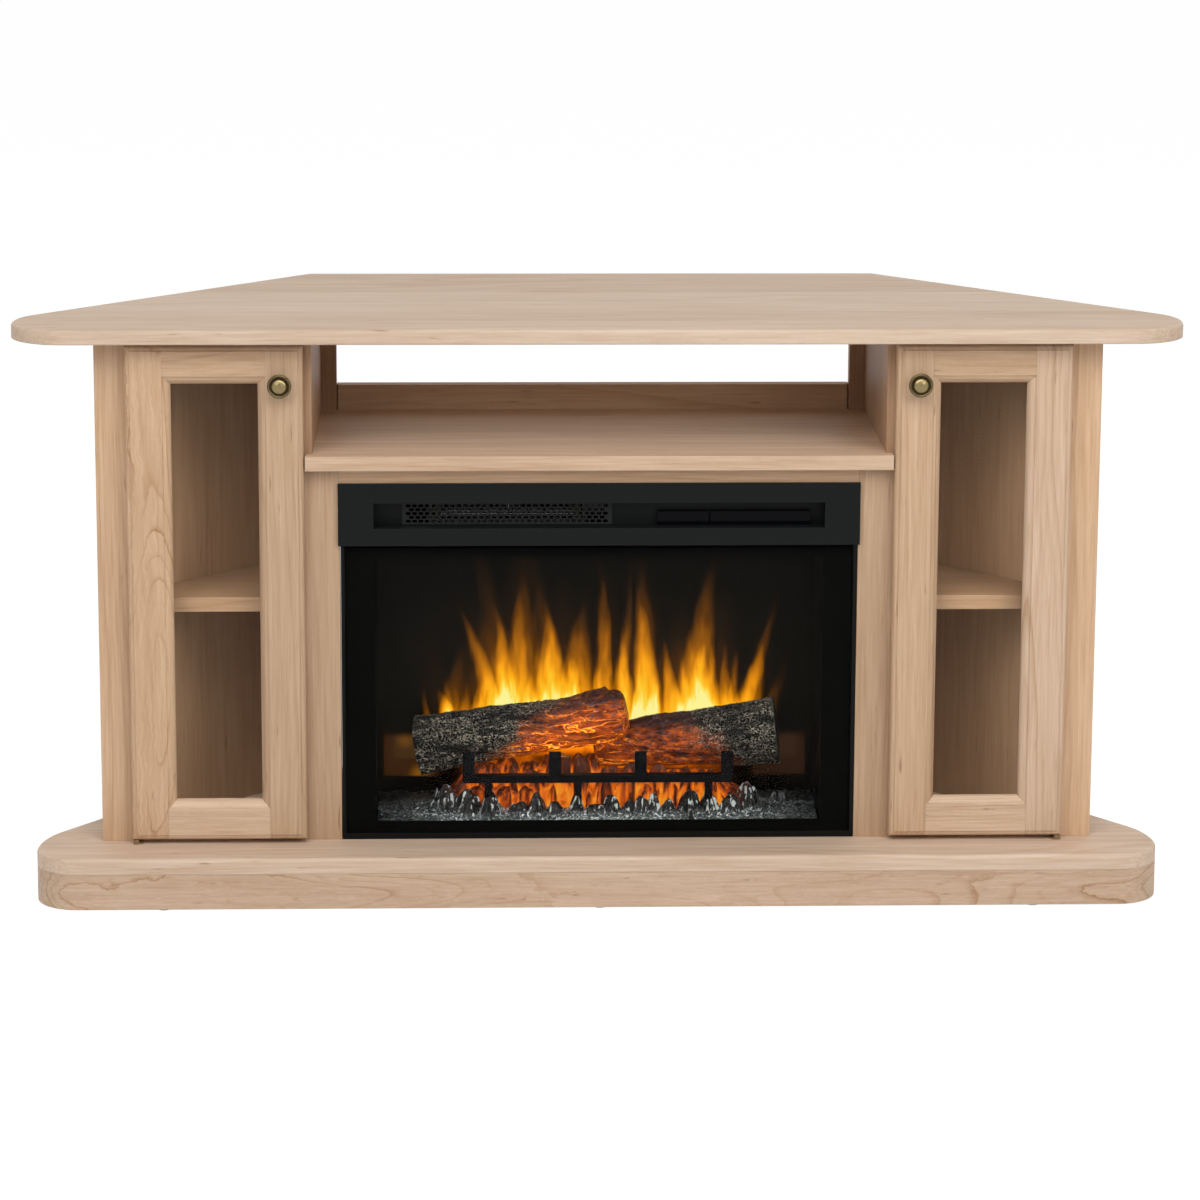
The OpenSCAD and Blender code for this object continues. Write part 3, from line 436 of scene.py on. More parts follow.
# Tongues of the flame picture in millimetres, x and height over the floor: foot, tip, half
# width near the foot, strength, and how far the middle bows to the side
TONGUES = (
    (-219, 180, -233, 252, 4, 0.34, -2),
    (-203, 178, -200, 256, 6, 0.34, 2),
    (-189, 176, -208, 236, 9, 0.80, 0),
    (-190, 180, -176, 300, 11, 0.34, -5),
    (-173, 178, -171, 244, 7, 0.50, 0),
    (-156, 184, -157, 240, 8, 0.80, 0),
    (-136, 184, -190, 366, 10, 0.62, 9),
    (-119, 188, -134, 352, 10, 0.66, 4),
    (-124, 200, -160, 446, 18, 0.32, 5),
    (-122, 186, -123, 252, 8, 0.72, 0),
    (-100, 190, -100, 372, 12, 0.52, -5),
    (-90, 240, -99, 450, 12, 0.28, 0),
    (-86, 188, -87, 258, 8, 0.72, 0),
    (-64, 186, -68, 350, 17, 0.80, 8),
    (-60, 220, -96, 446, 13, 0.30, 8),
    (-44, 186, -40, 275, 8, 0.42, 0),
    (-29, 196, -31, 280, 9, 0.80, 0),
    (-22, 186, -10, 372, 17, 0.60, -6),
    (3, 186, 4, 272, 7, 0.58, 0),
    (9, 186, 5, 420, 9, 0.58, 4),
    (26, 186, 48, 432, 7, 0.44, 3),
    (44, 176, 35, 306, 9, 0.74, 0),
    (57, 176, 58, 272, 7, 0.62, 0),
    (72, 178, 56, 372, 14, 0.66, 1),
    (66, 240, 60, 450, 11, 0.26, 0),
    (80, 176, 77, 262, 7, 0.60, 0),
    (106, 178, 88, 306, 9, 0.76, 3),
    (118, 178, 118, 266, 8, 0.52, 0),
    (134, 186, 160, 420, 18, 0.72, -8),
    (139, 190, 143, 300, 11, 0.70, 0),
    (157, 190, 156, 302, 7, 0.58, 0),
    (167, 186, 165, 246, 10, 0.66, 0),
    (177, 190, 171, 300, 6, 0.58, 0),
    (184, 190, 186, 292, 6, 0.54, 0),
    (188, 192, 244, 376, 8, 0.46, 5),
    (206, 190, 224, 296, 12, 0.56, -3),
    (229, 196, 256, 284, 8, 0.26, 0),
    # Broad soft light behind the tongues
    (-196, 170, -224, 318, 20, 0.12, 0),
    (-146, 172, -164, 356, 34, 0.27, 0),
    (-96, 176, -108, 420, 34, 0.24, 0),
    (-40, 176, -44, 392, 36, 0.28, 0),
    (12, 176, 16, 400, 28, 0.24, 0),
    (62, 172, 64, 400, 32, 0.30, 0),
    (112, 172, 112, 356, 30, 0.34, 0),
    (158, 176, 168, 376, 28, 0.26, 0),
    (204, 182, 226, 330, 20, 0.12, 0),
)
FLAME_COLOURS = (
    (0.00, (0.0, 0.0, 0.0)),
    (0.08, (0.010, 0.004, 0.001)),
    (0.20, (0.085, 0.025, 0.000)),
    (0.34, (0.330, 0.104, 0.000)),
    (0.48, (0.700, 0.236, 0.001)),
    (0.62, (0.980, 0.390, 0.003)),
    (0.78, (1.000, 0.560, 0.018)),
    (0.90, (1.000, 0.760, 0.110)),
    (1.00, (1.000, 0.900, 0.300)),
)

# The picture's other places, each from where it starts and is full to where it is held and
# ends: band of ember light, panels of painted reflection of the embers' glow beside the heap, their height
EMBER_BAND = (96.0, 112.0, 165.0, 200.0)
LEFT_REFLECTION_PANEL = (-283.0, -281.5, -214.0, -206.0)
RIGHT_REFLECTION_PANEL = (206.0, 214.0, 279.5, 281.0)
REFLECTION_PANEL_HEIGHT = (113.5, 116.0, 166.0, 176.0)
# Painted reflection of the embers' glow: colours of a panel's frame and its paler field, and of the warm
# patches on the left one
LEFT_REFLECTION_COLOURS = ((0.032, 0.0100, 0.0014), (0.060, 0.0280, 0.0080))
RIGHT_REFLECTION_COLOURS = ((0.020, 0.0076, 0.0030), (0.036, 0.0170, 0.0080))
WARM_REFLECTION_PATCH = (0.30, 0.110, 0.001)


def flame_screen():
    """The flame picture: a sum of leaning, tapering tongues, stirred by a slow noise, and
    below it two panels beside the ember bed that carry a painted reflection of the embers' glow. It is drawn
    in millimetres."""
    t = Tree("flame_picture")
    x, _, z = t.split(t.times(t.place(), (1000.0, 1000.0, 1000.0)))
    stir = t.noise(t.join(x, 0.0, t.math("MULTIPLY", z, 0.35)), 0.040)
    swayed = t.swing(stir, 13.0, x)
    total = 0.0
    for foot_x, foot_z, tip_x, tip_z, half, power, bow in TONGUES:
        tall = tip_z - foot_z
        rise = t.math("MAXIMUM", t.math("MULTIPLY_ADD", z, 1 / tall, -foot_z / tall), 0.0)
        left = t.math("SUBTRACT", 1.0, rise, clamp=True)
        # The middle line leans to the tip and bows by bow half way up
        bowed = t.math("MULTIPLY_ADD", t.math("MULTIPLY", rise, left), 4 * bow, foot_x)
        middle = t.math("MULTIPLY_ADD", rise, tip_x - foot_x, bowed)
        width = t.math("MULTIPLY_ADD", t.math("POWER", left, 0.75), half * 1.75, 0.8)
        off = t.math("DIVIDE", t.math("SUBTRACT", swayed, middle), width)
        body = t.math("SUBTRACT", 1.0, t.math("MULTIPLY", off, off), clamp=True)
        fade = t.math("MULTIPLY", t.math("POWER", left, 0.9), power)
        total = t.math("MULTIPLY_ADD", body, fade, total)
    grain = t.noise(t.join(swayed, 0.0, t.math("MULTIPLY", z, 0.2)), 0.14)
    total = t.math("MULTIPLY", total, t.span(grain, 0.3, 0.7, 0.80, 1.12))
    # The flames go out behind the logs, below which only the embers' light is left, as wide
    # as their heap
    total = t.math("MINIMUM", total, 1.25)
    total = t.math("MULTIPLY", total, t.span(z, 128.0, 165.0, 0.0, 0.80, smooth=True))
    side = t.math("ABSOLUTE", x)
    ember = t.swing(t.noise(t.join(x, 0.0, z), 0.018), 0.9, 0.31)
    ember = t.math("MULTIPLY", ember, t.span(side, 158.0, 192.0, 1.0, 0.0, smooth=True))
    total = t.math("MAXIMUM", total, t.math("MULTIPLY", ember, t.window(z, *EMBER_BAND)))
    # What shows under the logs is more orange than the flames
    orange = t.span(z, 165.0, 192.0, 0.58, 1.0)
    colour = t.times(t.ramp(total, FLAME_COLOURS), t.join(1.0, orange, orange))
    # Painted reflection of the embers' glow: dim panels beside the heap, each with a paler field and, on the
    # left, two warm patches
    height = t.window(z, *REFLECTION_PANEL_HEIGHT)
    inner = t.math("MULTIPLY", t.span(z, 138.0, 139.5), t.span(side, 268.0, 270.0, 0.6, 0.0))
    warm = t.math("MAXIMUM", t.spot(x, z, -254.0, 164.0, 16.0, 0.32), t.spot(x, z, -234.0, 116.0, 20.0, 0.7))
    left_reflection = t.mix(warm, t.mix(inner, *LEFT_REFLECTION_COLOURS), WARM_REFLECTION_PATCH)
    right_reflection = t.mix(inner, *RIGHT_REFLECTION_COLOURS)
    for place, light in ((LEFT_REFLECTION_PANEL, left_reflection), (RIGHT_REFLECTION_PANEL, right_reflection)):
        colour = t.mix(t.math("MULTIPLY", t.window(x, *place), height), colour, light)
    t.surface((0.0040, 0.0028, 0.0014), 0.35, specular_ior_level=0.03, emission_color=colour,
              emission_strength=1.0)
    return t.block


dress(flame_screen(), "rear_screen")


def hash01(cells, seed):
    """A fixed pseudo-random number from 0 to 1 for each lattice point."""
    mixed = cells[..., 0] * 73856093 ^ cells[..., 1] * 19349663 ^ cells[..., 2] * 83492791 ^ seed * 2654435
    mixed = (mixed ^ (mixed >> 13)) * 1274126177 & 0x7FFFFFFF
    return ((mixed ^ (mixed >> 16)) & 0xFFFFF) / float(0xFFFFF)


def value_noise(points, seed):
    """Smooth noise from 0 to 1 at an array of points, with one cell to a unit."""
    cells = np.floor(points).astype(np.int64)
    part = points - cells
    part = part * part * (3 - 2 * part)
    total = np.zeros(points.shape[:-1])
    for corner in np.ndindex(2, 2, 2):
        share = np.prod(np.where(np.array(corner), part, 1 - part), axis=-1)
        total += share * hash01(cells + np.array(corner), seed)
    return total


def turbulence(points, seed, octaves):
    """Octaves of value_noise, each half as strong and half as coarse as the one before."""
    total = sum(value_noise(points * 2 ** k, seed + k) / 2 ** k for k in range(octaves))
    return total / sum(1 / 2 ** k for k in range(octaves))


def made(name, points, faces, material, numbers, flat):
    """A mesh on the cabinet that stands for the CAD node of its name without the last word.
    points are in millimetres, with depths from the face plane. numbers are what painted()
    reads, and the faces in flat aren't shaded smooth."""
    mesh = bpy.data.meshes.new(name)
    points = np.array(points) / 1000.0
    points[:, 1] += FACE_Y
    mesh.from_pydata(points.tolist(), [], faces)
    smooth = np.ones(len(faces), dtype=bool)
    smooth[list(flat)] = False
    mesh.polygons.foreach_set("use_smooth", smooth)
    for key, values in numbers:
        layer = mesh.attributes.new(key, "FLOAT", "POINT")
        layer.data.foreach_set("value", np.asarray(values, dtype=np.float32))
    mesh.materials.append(material)
    mesh.update()
    piece = bpy.data.objects.new(name, mesh)
    scene.collection.objects.link(piece)
    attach(piece, "cabinet")
    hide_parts(name.rsplit("_", 1)[0])


# ---- logs ----

# Faces along and round a log, and depths of its bark's relief in millimetres
LOG_RINGS, LOG_SIDES = 300, 216
FURROW_DEPTH, CRYSTAL_DEPTH, PLATE_DEPTH = 2.2, 3.0, 4.2
# Most that the bark rises over the log's own form
BARK_LIMIT = 2.2


def log_mesh(name, start, end, r0, r1, bend, seed, material, lump):
    """The CAD log's form with bark: furrows along it, fine crystals over it, a flat sawn
    outer end and a worn inner end. It goes from radius r0 at start, the outer end, to r1.
    bend = how far its middle bows, lump = rise of the upper side near the inner end."""
    start, end = np.array(start, float), np.array(end, float)
    length = np.linalg.norm(end - start)
    t = np.linspace(0, 1, LOG_RINGS + 1)[:, None]
    a = np.linspace(0, 2 * np.pi, LOG_SIDES, endpoint=False)[None]
    deg = np.degrees(a)

    def wave(angle):
        return np.sin(np.radians(angle))

    # The slow waves of the CAD log, then its worn end and its lump
    radius = (r0 + (r1 - r0) * t) * (
        1 + 0.035 * wave(2 * deg + 200 * t + seed) + 0.03 * wave(5 * deg - 210 * t + 2 * seed)
        + 0.02 * wave(8 * deg + 240 * t) + 0.015 * wave(900 * t + 3 * seed))
    worn = np.clip((t - 0.955) / 0.045, 0, 1)
    upper = np.clip(np.sin(a), 0, 1) ** 0.7
    hump = np.clip((t - 0.74) / 0.17, 0, 1) * np.clip((0.935 - t) / 0.015, 0, 1)
    radius = radius * (1 - 0.30 * worn ** 2.5) + lump * upper * hump
    # Bark
    around = np.stack(np.broadcast_arrays(t * length, radius * np.cos(a), radius * np.sin(a)), axis=-1)
    furrow = turbulence(around * (1 / 60.0, 1 / 8.5, 1 / 8.5), seed, 2)
    furrow = np.clip(1 - np.abs(furrow - 0.5) / 0.055, 0, 1)
    crystal = turbulence(around * (1 / 4.4, 1 / 2.7, 1 / 2.7), seed + 9, 2) - 0.5
    plates = turbulence(around * (1 / 26.0, 1 / 10.0, 1 / 10.0), seed + 5, 2) - 0.5
    radius = radius - FURROW_DEPTH * furrow + CRYSTAL_DEPTH * crystal + PLATE_DEPTH * plates
    radius = np.minimum(radius, np.linalg.norm(around[..., 1:], axis=-1) + BARK_LIMIT)
    middle_y = bend * np.sin(np.pi * t)
    middle_z = 0.5 * bend * np.sin(2 * np.pi * t)
    local = np.stack(np.broadcast_arrays(t * length, radius * np.cos(a) + middle_y,
                                         radius * np.sin(a) + middle_z), axis=-1).reshape(-1, 3)
    along = (end - start) / length
    tilt = -math.asin(along[2])
    turn = math.atan2(along[1], along[0])
    spin = np.array(Matrix.Rotation(turn, 3, "Z") @ Matrix.Rotation(tilt, 3, "Y"))
    rows = np.arange(LOG_RINGS)[:, None] * LOG_SIDES
    j = np.arange(LOG_SIDES)[None]
    n = (j + 1) % LOG_SIDES
    ahead = rows + LOG_SIDES
    faces = np.stack(np.broadcast_arrays(rows + j, rows + n, ahead + n, ahead + j), axis=-1)
    if end[0] > start[0]:
        faces = faces[..., ::-1]
    faces = faces.reshape(-1, 4).tolist()
    # Fans close the two ends, and the outer one is flat
    bark_faces = len(faces)
    tip = len(local)
    last = LOG_RINGS * LOG_SIDES
    for k in range(LOG_SIDES):
        after = (k + 1) % LOG_SIDES
        faces.append([tip, k, after])
        faces.append([tip + 1, last + after, last + k])
    local = np.vstack([local, [[0, 0, 0], [length + 1.5, 0, 0]]])
    pit = np.concatenate([(0.5 * furrow + (0.5 - crystal)).reshape(-1), [0.6, 0.6]])
    made(name, local @ spin.T + start, faces, material, [("pit", pit)],
         flat=range(bark_faces, len(faces), 2))


def burnt_log(name, cold, hot, slant, heart, power, axis):
    """Moulded log: black char with worm-like strokes of paint at the outer end, lit from
    within between the x positions cold and hot. slant carries the glow further out on the
    underside; heart = x, z of its brightest part, power how bright that is. axis = height of
    the log's middle at x = 0 and its slope: the upper side stays a dark crust."""
    t = Tree(name)
    place = t.place()
    x, _, z = t.split(place)
    edge = t.noise(place, 26.0)
    reach = t.math("ADD", t.swing(edge, 0.07, x), t.math("MULTIPLY", t.math("SUBTRACT", z, 0.20), slant))
    near = t.span(reach, cold, hot, smooth=True)
    # Outer end: strokes of paint on char, fewer in the furrows
    stroke = t.level_lines(t.noise(t.times(place, (0.75, 1, 1)), 300.0, 1.0, 0.5, 0.5), 0.006, 0.044)
    groove = t.noise(t.times(place, (0.13, 1, 1)), 75.0, 2.0, 0.6)
    keep = t.math("MULTIPLY", t.span(groove, 0.38, 0.54, 0.08, 1.0),
                  t.span(t.painted("pit"), 0.50, 1.0, 1.0, 0.1))
    ash = t.mix(t.math("MULTIPLY", stroke, keep), (0.0032, 0.0030, 0.0028), (0.350, 0.312, 0.232))
    # Glowing side: veins are level lines that run along the log
    vein = t.level_lines(t.noise(t.times(place, (0.26, 1, 1)), 66.0, 3.0, 0.55, 0.8), 0.003, 0.026)
    body = t.ramp(t.noise(t.times(place, (0.4, 1, 1)), 130.0, 3.0, 0.65), (
        (0.38, (0.012, 0.004, 0.003)), (0.50, (0.140, 0.024, 0.005)), (0.62, (0.360, 0.068, 0.008))))
    spots = t.span(t.noise(t.times(place, (0.6, 1, 1)), 260.0, 2.0, 0.6), 0.58, 0.66)
    over = t.math("SUBTRACT", z, t.math("MULTIPLY_ADD", x, axis[1], axis[0]))
    crust = t.span(t.swing(edge, 0.030, over), 0.015, 0.029, 0.0, 0.9, smooth=True)
    body = t.mix(crust, body, (0.010, 0.006, 0.006))
    # The grey-blue spots on the glowing side are painted glints on its crystals, and the glow stays off them
    body = t.mix(t.math("MULTIPLY", spots, 0.85), body, (0.060, 0.060, 0.075))
    core = t.spot(t.math("MULTIPLY", x, 0.6), z, heart[0] * 0.6, heart[1], 0.075, 1.0)
    lit = t.math("MULTIPLY_ADD", vein, 1.25, 0.28)
    for dimmer in (t.math("MULTIPLY_ADD", core, 0.8, 0.2), near, t.span(groove, 0.36, 0.50, 0.08, 1.0),
                   t.math("MULTIPLY_ADD", crust, -0.80, 1.0), t.math("SUBTRACT", 1.0, spots)):
        lit = t.math("MULTIPLY", lit, dimmer)
    height = t.math("SUBTRACT", t.math("MULTIPLY", stroke, 0.5), t.math("MULTIPLY", vein, 0.3))
    t.surface(t.mix(near, ash, body), t.span(near, 0.0, 1.0, 0.62, 0.42), t.bump(height, 0.0014, 0.7),
              specular_ior_level=0.09, emission_color=t.mix(vein, (0.62, 0.085, 0.0), (1.0, 0.290, 0.020)),
              emission_strength=t.math("MULTIPLY", lit, power))
    return t.block


log_mesh("log_left_bark", (-235, 86, 170), (38, 57, 222.5), 38, 31.5, 2, 20,
         burnt_log("burnt_log_left", -0.125, -0.045, -0.9, (-0.045, 0.190), 2.0, (0.2152, 0.192)), 6.0)
log_mesh("log_right_bark", (238, 82, 192), (-2, 102, 162), 45, 25, -2, 75,
         burnt_log("burnt_log_right", 0.165, 0.095, 0.9, (0.015, 0.150), 0.70, (0.1622, 0.125)), 0.0)

# ---- embers ----

# Moulded peaks: x, depth, height, radius. The bed's are taller, wider and further forward
# than the part's, round the legs of the grate. The heap's are the part's and some more
BED_PEAKS = (
    (-218, 34, 15, 12), (-200, 41, 34, 17), (-172, 31, 32, 19), (-140, 27, 28, 17), (-104, 25, 16, 11),
    (-82, 28, 27, 16), (-57, 24, 18, 12), (-28, 28, 27, 13), (-2, 24, 14, 11), (17, 27, 23, 12),
    (40, 24, 20, 12), (56, 29, 21, 11), (72, 27, 28, 11), (92, 24, 20, 13), (121, 28, 29, 16),
    (146, 28, 28, 15), (176, 30, 23, 15), (197, 41, 36, 16), (218, 30, 13, 11), (240, 62, 13, 11),
)
HEAP_PEAKS = (
    (-186, 54, 22, 15), (-158, 55, 29, 15), (-118, 54, 28, 16), (-92, 54, 26, 14), (-57, 53, 31, 12),
    (-14, 54, 26, 15), (5, 55, 29, 12), (28, 54, 30, 14), (62, 55, 30, 16), (100, 54, 30, 17),
    (130, 55, 26, 14), (163, 54, 24, 15), (-145, 66, 38, 16), (-108, 66, 54, 18), (-78, 66, 46, 16),
    (-49, 72, 110, 21), (-20, 67, 64, 18), (20, 66, 52, 18), (62, 65, 46, 17), (100, 65, 48, 18),
    (138, 65, 46, 17), (174, 66, 30, 17), (-150, 84, 55, 31), (-118, 92, 60, 29), (-88, 88, 54, 26),
    (-62, 92, 60, 26), (-24, 86, 64, 29), (-6, 94, 60, 21), (12, 58, 52, 20), (44, 60, 58, 20),
    (80, 60, 56, 19), (118, 58, 54, 18), (152, 58, 50, 18),
)
# Heights of the bed's front edge, its flat and its underside
BED_LOW, BED_TOP, BED_FLOOR = 92.0, 96.0, 79.5
# Half its width, and depths of its front and back
BED_HALF, BED_FRONT, EMBERS_BACK = 287.0, 7.0, 106.0
# Half the heap's width, depth of its front and height of the seat that carries a log
HEAP_HALF, HEAP_FRONT, HEAP_SEAT = 203.0, 47.0, 160.0


def peak_field(x, y, peaks, seed):
    """Height of the highest peak, from sharp tooth to round mound, with folds down its sides,
    and how near that is to the ridge of a fold."""
    here = np.stack([x, y, 0 * x], axis=-1)
    # The outlines wander by up to 7 mm
    x = x + 14.0 * (turbulence(here / 13.0, 21, 3) - 0.5)
    y = y + 14.0 * (turbulence(here / 13.0, 31, 3) - 0.5)
    best = np.zeros_like(x)
    ridge = np.zeros_like(x)
    for k, (px, py, height, radius) in enumerate(peaks):
        dx, dy = x - px, y - py
        away = np.hypot(dx, dy) / radius
        angle = np.arctan2(dy, dx)
        folds = 1 + 0.16 * np.cos(3 * angle + 1.7 * k + seed) + 0.12 * np.cos(6 * angle + 2.9 * k)
        # A low power gives a sharp tooth and a high one a round mound
        power = 1.3 + 1.5 * ((k * 0.618) % 1)
        tooth = np.clip(1 - (away / folds) ** power, 0, 1)
        fold = np.clip(np.cos(2 * angle + 1.7 * k + seed) * 12 - 11, 0, 1)
        ridge = np.where(height * tooth > best, fold, ridge)
        best = np.maximum(best, height * tooth)
    return best, ridge


def blurred(field, cells):
    """A grid smoothed over that many cells."""
    reach = int(3 * cells) + 1
    kernel = np.exp(-0.5 * (np.arange(-reach, reach + 1) / cells) ** 2)
    kernel /= kernel.sum()
    for axis in (0, 1):
        widths = [(reach, reach) if k == axis else (0, 0) for k in (0, 1)]
        padded = np.pad(field, widths, mode="edge")
        field = np.apply_along_axis(lambda row: np.convolve(row, kernel, mode="valid"), axis, padded)
    return field


def relief_mesh(name, xs, ys, z, floor, material, numbers):
    """A solid under a grid of heights, like the part's relief()."""
    nx, ny = len(xs), len(ys)
    gx, gy = np.meshgrid(xs, ys)
    points = np.stack([gx, gy, z], axis=-1).reshape(-1, 3)
    i, j = np.meshgrid(np.arange(nx - 1), np.arange(ny - 1))
    a = j * nx + i
    faces = np.stack([a, a + 1, a + nx + 1, a + nx], axis=-1).reshape(-1, 4).tolist()
    rim = (list(range(nx - 1)) + [k * nx + nx - 1 for k in range(ny - 1)]
           + [(ny - 1) * nx + k for k in range(nx - 1, 0, -1)] + [k * nx for k in range(ny - 1, 0, -1)])
    base = len(points)
    low = points[rim].copy()
    low[:, 2] = floor
    points = np.vstack([points, low])
    top_faces = len(faces)
    for k in range(len(rim)):
        n = (k + 1) % len(rim)
        faces.append([rim[k], base + k, base + n, rim[n]])
    faces.append([base + k for k in range(len(rim) - 1, -1, -1)])
    numbers = [(key, np.concatenate([v.reshape(-1), v.reshape(-1)[rim]])) for key, v in numbers]
    made(name, points, faces, material, numbers, flat=range(top_faces, len(faces)))


def crystal_bed():
    """Grey gravel with bright specks, and on it dark glassy mounds with pale paint on their
    crests. Ember light shows in the dips near the heap."""
    t = Tree("crystal_bed")
    place = t.place()
    crest = t.painted("crest")
    grit = t.noise(place, 310.0, 2.0, 0.7)
    gravel = t.ramp(t.swing(t.noise(place, 40.0), 0.22, grit), (
        (0.42, (0.013, 0.016, 0.015)), (0.54, (0.070, 0.080, 0.078)), (0.61, (0.240, 0.265, 0.258)),
        (0.66, (0.620, 0.650, 0.630))))
    glassy = t.ramp(t.noise(place, 90.0), ((0.3, (0.003, 0.003, 0.003)), (0.7, (0.012, 0.010, 0.009))))
    body = t.mix(t.painted("mound"), gravel, glassy)
    paint = t.math("MULTIPLY", t.span(crest, 0.42, 0.62), t.span(t.noise(place, 95.0), 0.47, 0.53))
    # Painted shade: the bed is darker towards the back, which lies in shadow, and towards its ends
    x, y, _ = t.split(place)
    shade = t.math("MULTIPLY", t.span(y, FACE_Y + 0.030, FACE_Y + 0.085, 1.0, 0.22),
                   t.span(t.math("ABSOLUTE", x), 0.17, 0.27, 1.0, 0.24))
    colour = t.times(t.mix(paint, body, (0.30, 0.33, 0.31)), t.join(shade, shade, shade))
    # The mounds are smooth
    relief = t.mix(t.painted("mound"), grit, (0.5, 0.5, 0.5))
    light = t.math("MULTIPLY", t.painted("ember_light"), t.math("SUBTRACT", 1.0, paint))
    t.surface(colour, t.span(crest, 0.0, 1.0, 0.32, 0.5), t.bump(relief, 0.0012, 0.7),
              specular_ior_level=0.12, emission_color=(1.0, 0.16, 0.02), emission_strength=light)
    return t.block


def glowing_heap():
    """Translucent moulding lit from below: hot in the dips, dark red on the shoulders."""
    t = Tree("glowing_heap")
    flow = t.noise(t.times(t.place(), (1, 1, 0.45)), 70.0, 3.0, 0.55, 1.2)
    hot = t.swing(flow, 1.3, t.painted("ember_light"))
    hot = t.math("ADD", hot, t.level_lines(flow, 0.0, 0.03, 0.16))
    hot = t.math("SUBTRACT", hot, t.math("MULTIPLY", t.painted("crest"), 0.32))
    light = t.ramp(hot, (
        (0.10, (0.008, 0.002, 0.001)), (0.32, (0.130, 0.018, 0.002)), (0.54, (0.500, 0.075, 0.002)),
        (0.78, (0.930, 0.190, 0.003)), (1.0, (1.000, 0.360, 0.014))))
    t.surface((0.040, 0.012, 0.006), 0.25, t.bump(flow, 0.0022, 0.6),
              specular_ior_level=0.07, emission_color=light, emission_strength=0.8)
    return t.block


def build_bed():
    # Grid lines 1.5 mm apart, and wider from front to back under the heap
    xs = np.linspace(-BED_HALF, BED_HALF, 383)
    ys = np.concatenate([np.arange(BED_FRONT, 48, 1.25), np.arange(48.5, EMBERS_BACK + 0.1, 2.3)])
    ys[-1] = EMBERS_BACK
    x, y = np.meshgrid(xs, ys)
    here = np.stack([x, y, 0 * x], axis=-1)
    # Under the heap the bed is flat, and beside it, on the wings, it lies a little higher
    wing = np.clip((np.abs(x) - HEAP_HALF - 1) / 6, 0, 1)
    free = np.clip(np.maximum(wing, (HEAP_FRONT - y) / 1.5), 0, 1)
    # From the glass the bed rises at 0.154, as the part's does
    ramp = BED_LOW + np.minimum(BED_TOP - BED_LOW + 4 * wing, 0.154 * (y - BED_FRONT))
    tooth, ridge = peak_field(x, y, BED_PEAKS, 0.3)
    # Small lumps, which start a little behind the glass, and grains all over
    small = np.clip(turbulence(here / 9.0, 3, 2) - 0.52, 0, 1) * 11 * np.clip((y - 12) / 15, 0, 1)
    grains = (turbulence(here / 2.6, 4, 2) - 0.5) * 1.5
    z = ramp + free * np.clip(np.maximum(tooth, small) + grains, -0.8, 40)
    z = np.where(free > 0, z, BED_TOP - 0.05)
    crest = np.maximum(ridge, np.clip((z - blurred(z, 1.2)) / 0.35 - 4.0, 0, 1))
    crest *= np.clip((z - ramp - 2.0) / 3.0, 0, 1) * free
    mound = np.clip((tooth - 2.5) / 4.0, 0, 1)
    by_heap = np.clip((y - 30) / 14, 0, 1) * np.clip((205 - np.abs(x)) / 22, 0, 1)
    heat = by_heap * (0.22 * np.clip(1.0 - (z - ramp) / 17.0, 0, 1) ** 1.5 + 0.07 * mound)
    relief_mesh("ember_bed_skin", xs, ys, z, BED_FLOOR, crystal_bed(),
                [("crest", crest), ("mound", mound), ("ember_light", heat)])


def build_heap():
    # Grid lines 1.4 mm apart
    xs = np.linspace(-HEAP_HALF, HEAP_HALF, 291)
    ys = np.linspace(HEAP_FRONT, EMBERS_BACK, 46)
    x, y = np.meshgrid(xs, ys)
    here = np.stack([x, y, 0 * x], axis=-1)
    ends = np.minimum(1, np.minimum((x + HEAP_HALF + 4) / 34, (HEAP_HALF + 8 - x) / 60))
    lumps = 26 * (turbulence(here / (24.0, 20.0, 1.0), 14, 2) - 0.5)
    slope = np.where(y > EMBERS_BACK - 1.5, 0, np.clip(1.35 * (y - HEAP_FRONT) + lumps, 0, 37))
    tooth, _ = peak_field(x, y, HEAP_PEAKS, 1.1)
    wrinkle = (turbulence(here / (7.0, 11.0, 7.0), 8, 2) - 0.5) * 5.0
    # No wrinkles at the foot of a peak, nor on the seat that carries a log
    tallest = HEAP_SEAT - BED_TOP
    bumpy = np.clip((tooth - 4) / 12, 0, 1) * np.clip((tallest - 3 - tooth) / 6, 0, 1)
    z = BED_TOP + np.clip(np.maximum(ends * slope, ends * tooth + bumpy * wrinkle), 1.5, tallest)
    crest = np.clip((z - blurred(z, 2.0)) / 1.5, 0, 1)
    dip = np.clip((blurred(z, 5.0) - z) / 8.0, 0, 1)
    low = np.clip(1 - (z - BED_TOP - 14) / 40, 0, 1)
    heat = (0.41 + 0.36 * dip + 0.06 * low) * np.clip(ends * 1.3, 0, 1)
    heat *= np.clip((200 - np.abs(x)) / 32, 0.05, 1)
    relief_mesh("ember_coals_skin", xs, ys, z, BED_TOP, glowing_heap(),
                [("crest", crest), ("ember_light", heat)])


build_bed()
build_heap()

# ---- floor, light and camera ----

# Share of the floor that is lit by itself, and how brightly
FLOOR_SHARE, FLOOR_STRENGTH = 0.72, 1.25
MIDDLE = Vector((0.0, 0.0, 0.40))


